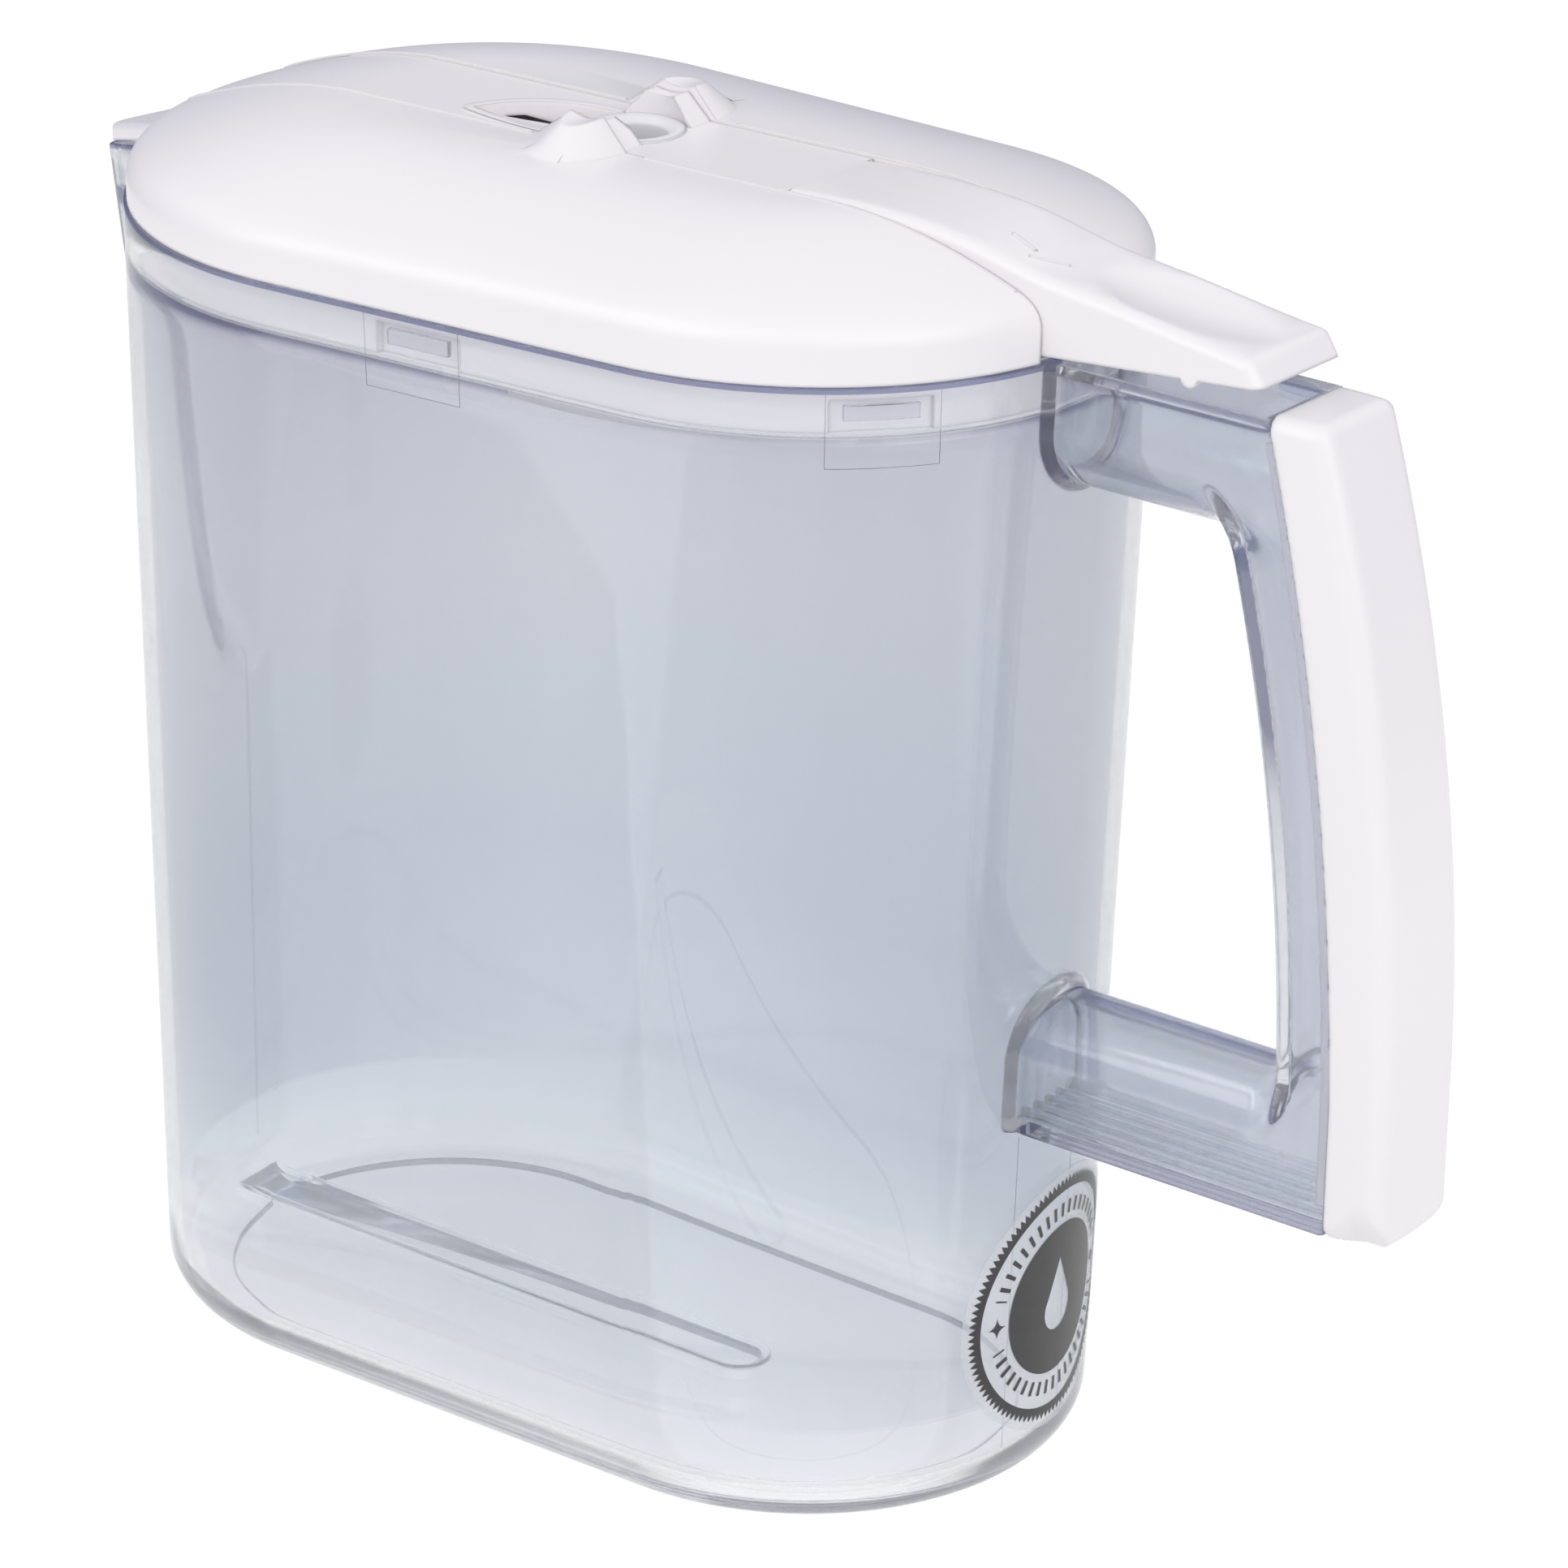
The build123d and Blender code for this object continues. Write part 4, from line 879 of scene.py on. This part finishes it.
cover_outer = ((0.1572, 0.2203), (0.1711, 0.1642), (0.17617, 0.1000))
cover_top = 0.2203
cover_gap = 0.0001
cover_wall = 0.0024
cover_half = 0.0120
cover_back_r = 0.0050
cover_top_r = 0.0020
cover_side_r = 0.0032
cover_corner_r = 0.0100
corner_relief = 0.004
relief_run = 0.0055
cover_bulge = 0.0024
bulge_run = 0.006
bulge_least = 0.3
bulge_crown = 0.5
cover_taper = 0.0006
taper_run = 0.011
cover_seam_edge = 0.0005
lip_faces = (0.00725, 0.00905)
lip_ends = (0.0801, 0.2152)
lip_reach = 0.003
lip_blend = 0.0009
cover_box = ((0.1415, -0.0128, 0.0721), (0.1772, 0.0128, 0.2213))
cover_step = 0.0007


def rounded_highest(first, second, radius):
    """The overlap of two solids, with a true round edge of one radius."""
    first, second = first + radius, second + radius
    outside = np.hypot(np.maximum(first, 0), np.maximum(second, 0))
    return np.minimum(np.maximum(first, second), 0) + outside - radius


def cover_distance(x, y, z):
    """The hollow cover, open towards the handle, with its two snap lips."""
    side = np.abs(y)
    back = past_curve(x, z, cover_outer)
    seam = past_curve(x, z, grip_seam) - cover_gap
    flank = side - cover_half + cover_taper * np.clip(seam / taper_run, 0, 1) ** 2
    crown = 1 - bulge_crown * (side / cover_half) ** 2
    bulge = cover_bulge * np.clip(seam / bulge_run, bulge_least, 1) * crown
    below = lower_arm[0] - bulge - z
    ends = rounded_highest(back, below, cover_back_r)
    ends = rounded_highest(ends, z - cover_top, cover_top_r)
    relief = corner_relief * (1 - np.clip(seam / relief_run, 0, 1))
    corner = rounded_highest(below, flank, cover_corner_r) - relief
    outer = np.maximum(rounded_highest(ends, flank, cover_side_r), corner)
    hollow = np.maximum(outer, -(outer + cover_wall))
    shell = eased_highest(hollow, -seam, cover_seam_edge)
    lip = np.maximum(side - lip_faces[1], lip_faces[0] - side)
    past_ends = np.maximum(z - lip_ends[1], lip_ends[0] - z)
    lip = np.maximum(np.maximum(lip, np.abs(seam) - lip_reach), past_ends)
    return eased_lowest(shell, lip, lip_blend)


white_plastic = white_moulding("white_plastic", (0.83, 0.81, 0.83), 0.28)
cover = surface_mesh("handle_cover", cover_distance, *cover_box, cover_step)
smoothed(cover, 50, white_plastic)
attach(cover, "jug")
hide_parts("grip_cover")

# Round label: printed clear film stuck on the wall under the handle. A black
# disc and a black toothed ring are printed on it; the ring's band stays clear.
label_centre = (0.0064, 0.0355)
label_r = 0.0254
label_gap = 0.00004
label_thickness = 0.00016
label_disc_r = 0.0147
label_ring_r = (0.0214, 0.0226)
label_teeth = 104
tooth_depth = 0.0014
label_dashes = 44
dash_share = 0.16
dash_ends = (0.0163, 0.0190)
dash_turn = 1.28
star_y = 0.0176
star_size = 0.00155
star_pinch = 0.001
drop_r = 0.0044
drop_low = 0.002
drop_tip = 0.0082
drop_slope = 0.47
label_film, finish = new_finish("label_film")
place = finish.node("ShaderNodeTexCoord", {}, {}, "Object")
across = finish.node("ShaderNodeSeparateXYZ", {}, {0: place}, 1) - label_centre[0]
height = finish.node("ShaderNodeSeparateXYZ", {}, {0: place}, 2) - label_centre[1]
distance = finish.math("SQRT", across * across + height * height)
angle = finish.math("ARCTAN2", height, across)
tooth = finish.math("PINGPONG", angle * (label_teeth / (2 * pi)) + label_teeth, 0.5) * 2
edge = tooth * tooth_depth + label_ring_r[1]
ring = (distance > label_ring_r[0]) * (distance < edge)
centre_disc = distance < label_disc_r
star_across = finish.math("ABSOLUTE", finish.math("ABSOLUTE", across) - star_y)
star_across = finish.math("SQRT", star_across * star_pinch)
star_height = finish.math("SQRT", finish.math("ABSOLUTE", height) * star_pinch)
star = star_across + star_height < star_size
turned = finish.math("PINGPONG", angle * (label_dashes / (2 * pi)) + label_dashes, 0.5)
dash = (turned < dash_share) * (distance > dash_ends[0]) * (distance < dash_ends[1])
from_top = finish.math("ABSOLUTE", finish.math("ABSOLUTE", angle) - pi / 2)
dash = dash * (from_top < dash_turn)
round_height = height + drop_low
drop_round = finish.math("SQRT", across * across + round_height * round_height) < drop_r
tip_half = (drop_tip - height) * drop_slope
drop_point = (height > 0.0) * (finish.math("ABSOLUTE", across) < tip_half)
drop = finish.math("MAXIMUM", drop_round, drop_point)
centre_disc = centre_disc * (1 - drop)
printed = finish.math("MAXIMUM", ring, centre_disc)
printed = finish.math("MAXIMUM", printed, finish.math("MAXIMUM", star, dash))
ink = finish.node("ShaderNodeTexNoise", {}, {"Vector": place, "Scale": 260.0, "Detail": 3.0})
black = finish.node("ShaderNodeMix", {"data_type": "RGBA"}, {
    0: ink, 6: (0.018, 0.018, 0.02, 1), 7: (0.04, 0.04, 0.043, 1),
}, 2)
colour = finish.node("ShaderNodeMix", {"data_type": "RGBA"}, {
    0: printed, 6: (0.72, 0.74, 0.77, 1), 7: black,
}, 2)
film = finish.node("ShaderNodeBsdfPrincipled", {}, {
    "Base Color": colour,
    "Roughness": 0.35,
    "Alpha": printed * 0.7 + 0.3,
})
finish.node("ShaderNodeOutputMaterial", {}, {"Surface": film})
label_rings = 8
label_spokes = 96


def film_corner(shape, y, z, lift):
    """A corner of the film at y and z from its centre, lifted off the wall."""
    at_wall = on_wall(0.05, label_centre[0] + y, label_centre[1] + z, 0.0)
    return shape.verts.new(at_wall + Vector((lift, 0, 0)))


shape = bmesh.new()
turns = [2 * pi * k / label_spokes for k in range(label_spokes)]
layers = []
for lift in (label_gap, label_gap + label_thickness):
    rings = [[film_corner(shape, 0.0, 0.0, lift)]]
    for inset in range(1, label_rings + 1):
        radius = label_r * inset / label_rings
        rings.append([film_corner(shape, radius * cos(t), radius * sin(t), lift) for t in turns])
    layers.append(rings)
for rings in layers:
    for k in range(label_spokes):
        after = (k + 1) % label_spokes
        shape.faces.new((rings[0][0], rings[1][k], rings[1][after]))
        for first, second in zip(rings[1:], rings[2:]):
            shape.faces.new((first[k], second[k], second[after], first[after]))
for k in range(label_spokes):
    (a, b), (c, d) = ((rings[-1][k], rings[-1][(k + 1) % label_spokes]) for rings in layers)
    shape.faces.new((a, b, d, c))
bmesh.ops.recalc_face_normals(shape, faces=shape.faces)
label = new_piece("label_disc", shape)
smoothed(label, 40, label_film)
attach(label, "jug")
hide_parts("round_label")

# Lid: the white domed cover with its two petals, one moulding with the
# channel for the lever, the skirt that plugs the jug and the outer ramps.
inlet_x = 0.0025
slot_half = 0.0129
slot_margin = 0.00027
slot_wall_from_z = 0.2225
on_slot_wall = 0.00006
dome_top = 0.2387
ramp_foot_z = 0.238
ramp_base_r = 0.01206
ramp_reach = 0.013
ramp_middle_x = 0.0022
ramp_width = 0.74
ramp_height = 0.84
beside_slot = 0.0004
above_dome = 0.0001


def reshaped(name, node, body, move):
    """A copy of a CAD node with some corners moved, which replaces the node."""
    shape = node_shape(node)
    for corner in shape.verts:
        corner.co = move(*corner.co)
    made = new_piece(name, shape)
    smoothed(made, 30, white_plastic)
    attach(made, body)
    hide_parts(node)
    return made


def slimmer_lid_ramps(x, y, z):
    """The lid's half of each ramp is narrower and lower than a plain cone."""
    if abs(abs(y) - slot_half) < on_slot_wall and z > slot_wall_from_z:
        y = (slot_half - slot_margin) * (1 if y > 0 else -1)
    foot = sqrt((x - inlet_x) ** 2 + (abs(y) - slot_half) ** 2)
    on_ramp = z > dome_top + above_dome or foot < ramp_base_r
    if abs(y) > slot_half - beside_slot and z > ramp_foot_z and on_ramp and foot < ramp_reach:
        x = ramp_middle_x + (x - inlet_x) * ramp_width
        z = dome_top + (z - dome_top) * ramp_height if z > dome_top else z
    return x, y, z


lid = reshaped("lid_cover", "lid_shell", "lid", slimmer_lid_ramps)

# Petal edges: the fine raised edges of the lid's two petals, where they meet
# the lever's channel. They are part of the lid's moulding.
petal_edge_r = 0.00036
petal_edge_out = 0.00035
petal_edge_sunk = 0.00012
petal_edge_found = 0.0006
petal_spans = ((-0.0925, -0.0100), (0.0152, 0.0960))
above_all = 0.3


def skin_of(piece):
    """The surface of a piece, ready to be searched along a line."""
    corners = [corner.co for corner in piece.data.vertices]
    return BVHTree.FromPolygons(corners, [face.vertices for face in piece.data.polygons])


def top_of(skin, x, y):
    """The point of a surface straight below a place high above it."""
    return skin.ray_cast(Vector((x, y, above_all)), Vector((0, 0, -1)))[0]


lid_skin = skin_of(lid)
petal_edges = []
for side in (1, -1):
    for start, end in petal_spans:
        edge = []
        for x in np.linspace(start, end, 60):
            found = top_of(lid_skin, x, side * (slot_half + petal_edge_found))
            edge_y = side * (slot_half + petal_edge_out)
            edge.append(Vector((x, edge_y, found.z - petal_edge_sunk)))
        petal_edges.append(edge)
swept("petal_edges", petal_edges, petal_edge_r, white_plastic, "lid")

# Pouring lever: one white moulding that lies in the lid's channel, from the
# tongue over the spout to the thumb rest, with its half of each ramp.
lever_ramp_from_y = 0.0068
lever_ramp_reach = 0.016
lever_ramp_foot_z = 0.2386
lever_ramp_rise = 0.0060
lever_ramp_middle_x = 0.00275
lever_ramp_top_x = 0.0005
lever_ramp_width = 0.82
lever_ramp_height = 0.77
lever_top_z = 0.2383
lever_step_x = (0.0110, 0.0122)
lever_step_back = 0.0018


def slimmer_lever_ramps(x, y, z):
    """The lever's ramps stand a little lower than the lid's, and lean inwards."""
    if abs(y) > lever_ramp_from_y and abs(x - inlet_x) < lever_ramp_reach and z > dome_top:
        share = min((z - lever_ramp_foot_z) / lever_ramp_rise, 1)
        top_x = lever_ramp_top_x + (x - lever_ramp_middle_x) * lever_ramp_width
        x += share * (top_x - x)
        z = lever_ramp_foot_z + (z - lever_ramp_foot_z) * lever_ramp_height
    elif (
        abs(y) > lever_ramp_from_y and z > lever_top_z
        and lever_step_x[0] < x < lever_step_x[1]
    ):
        x -= lever_step_back
    return x, y, z


lever = reshaped("lever_cover", "pour_lever", "lever", slimmer_lever_ramps)

# Scoop slope: the thin leaf that falls from the near edge of the lever's
# pouring scoop into its mouth. It is part of the lever's moulding.
scoop_near = ((-0.0060, -0.0096), (-0.0180, -0.0094), (-0.0283, -0.0075))
scoop_far = ((-0.0060, 0.0062), (-0.0195, 0.0039), (-0.0285, -0.0073))
scoop_width = 0.84
scoop_drop = 0.0050
scoop_thickness = 0.0008
scoop_rows = 24
scoop_steps = 8


def along_arc(points, share):
    """A point on the smooth curve through three points."""
    (ax, ay), (bx, by), (cx, cy) = points
    first = 2 * (share - 0.5) * (share - 1)
    second = -4 * share * (share - 1)
    third = 2 * share * (share - 0.5)
    return ax * first + bx * second + cx * third, ay * first + by * second + cy * third


shape = bmesh.new()
top_rows, low_rows = [], []
for k in range(scoop_rows + 1):
    near_x, near_y = along_arc(scoop_near, k / scoop_rows)
    far_x, far_y = along_arc(scoop_far, k / scoop_rows)
    row = []
    for m in range(scoop_steps + 1):
        share = scoop_width * m / scoop_steps
        x, y = near_x + (far_x - near_x) * share, near_y + (far_y - near_y) * share
        row.append((x, y, lever_top_z - scoop_drop * share ** 1.5))
    top_rows.append([shape.verts.new(corner) for corner in row])
    low_rows.append([shape.verts.new((x, y, z - scoop_thickness)) for x, y, z in row])
for rows in (top_rows, low_rows):
    for first, second in zip(rows, rows[1:]):
        for m in range(scoop_steps):
            shape.faces.new((first[m], first[m + 1], second[m + 1], second[m]))
for m in range(scoop_steps):
    for k in (0, -1):
        top, low = top_rows[k], low_rows[k]
        shape.faces.new((top[m], top[m + 1], low[m + 1], low[m]))
for k in range(scoop_rows):
    for m in (0, -1):
        shape.faces.new((top_rows[k][m], top_rows[k + 1][m], low_rows[k + 1][m], low_rows[k][m]))
bmesh.ops.recalc_face_normals(shape, faces=shape.faces)
scoop = new_piece("scoop_slope", shape)
smoothed(scoop, 40, white_plastic)
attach(scoop, "lever")

# Arrow strokes: two short raised strokes on the lever that tell the thumb
# where to press. They are part of the lever's moulding.
stroke_r = 0.00042
stroke_ends = (((0.0873, -0.0026), (0.0935, -0.0044)), ((0.0939, -0.0070), (0.1003, -0.0038)))
lever_skin = skin_of(lever)
arrow_strokes = []
for start, end in stroke_ends:
    stroke = []
    for step in range(9):
        x, y = (a + (b - a) * step / 8 for a, b in zip(start, end))
        stroke.append(top_of(lever_skin, x, y))
    arrow_strokes.append(stroke)
swept("arrow_strokes", arrow_strokes, stroke_r, white_plastic, "lever")

# Inlet bush, filter cup and filter cap: three white mouldings inside the lid.
# The bush lines the drip inlet, the cup sits under it and the cap closes the
# cup.
insert_plastic = white_moulding("insert_plastic", (0.78, 0.78, 0.8), 0.4)


def finish_node(node, material):
    """Gives a carried-over CAD node its material."""
    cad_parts[node].data.materials.clear()
    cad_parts[node].data.materials.append(material)


for node in ("inlet_insert", "filter_cup", "filter_cap"):
    finish_node(node, insert_plastic)

# Cup seal: a flat ring of pale rubber, moulded in one piece, that the filter
# cup holds against the lid.
seal_rubber = white_moulding("seal_rubber", (0.55, 0.55, 0.57), 0.62)
finish_node("cup_seal", seal_rubber)

# Hinge pin: a ground steel rod pressed into the lid's bosses, on which the
# lever turns.
pin_steel, finish = new_finish("pin_steel")
place = finish.node("ShaderNodeTexCoord", {}, {}, "Object")
along = finish.node("ShaderNodeMapping", {}, {0: place, "Scale": (900.0, 40.0, 900.0)})
grinding = finish.node("ShaderNodeTexNoise", {}, {"Vector": along, "Scale": 1.0, "Detail": 2.0})
steel = finish.node("ShaderNodeBsdfPrincipled", {}, {
    "Base Color": (0.62, 0.62, 0.63, 1),
    "Metallic": 1.0,
    "Roughness": grinding * 0.2 + 0.2,
})
finish.node("ShaderNodeOutputMaterial", {}, {"Surface": steel})
finish_node("hinge_pin", pin_steel)

# Carbon bag: a fleece bag of carbon grains that lies loose in the filter cup
# and shows darker where a grain presses through. Its brown tone is also
# darkened as painted shade, for the dim inside of the drip inlet.
carbon_bag, finish = new_finish("carbon_bag")
place = finish.node("ShaderNodeTexCoord", {}, {}, "Object")
grains = finish.node("ShaderNodeTexVoronoi", {}, {"Vector": place, "Scale": 900.0})
raised = finish.node("ShaderNodeBump", {}, {"Height": grains, "Strength": 0.6, "Distance": 0.0005})
# Fleece and grain colour, darkened as painted shade for the inlet's dim inside.
bag_colour_with_painted_shade = finish.node("ShaderNodeMix", {"data_type": "RGBA"}, {
    0: grains, 6: (0.26, 0.21, 0.19, 1), 7: (0.42, 0.36, 0.33, 1),
}, 2)
bag = finish.node("ShaderNodeBsdfPrincipled", {}, {
    "Base Color": bag_colour_with_painted_shade, "Roughness": 0.9, "Normal": raised,
})
finish.node("ShaderNodeOutputMaterial", {}, {"Surface": bag})
finish_node("carbon_pack", carbon_bag)
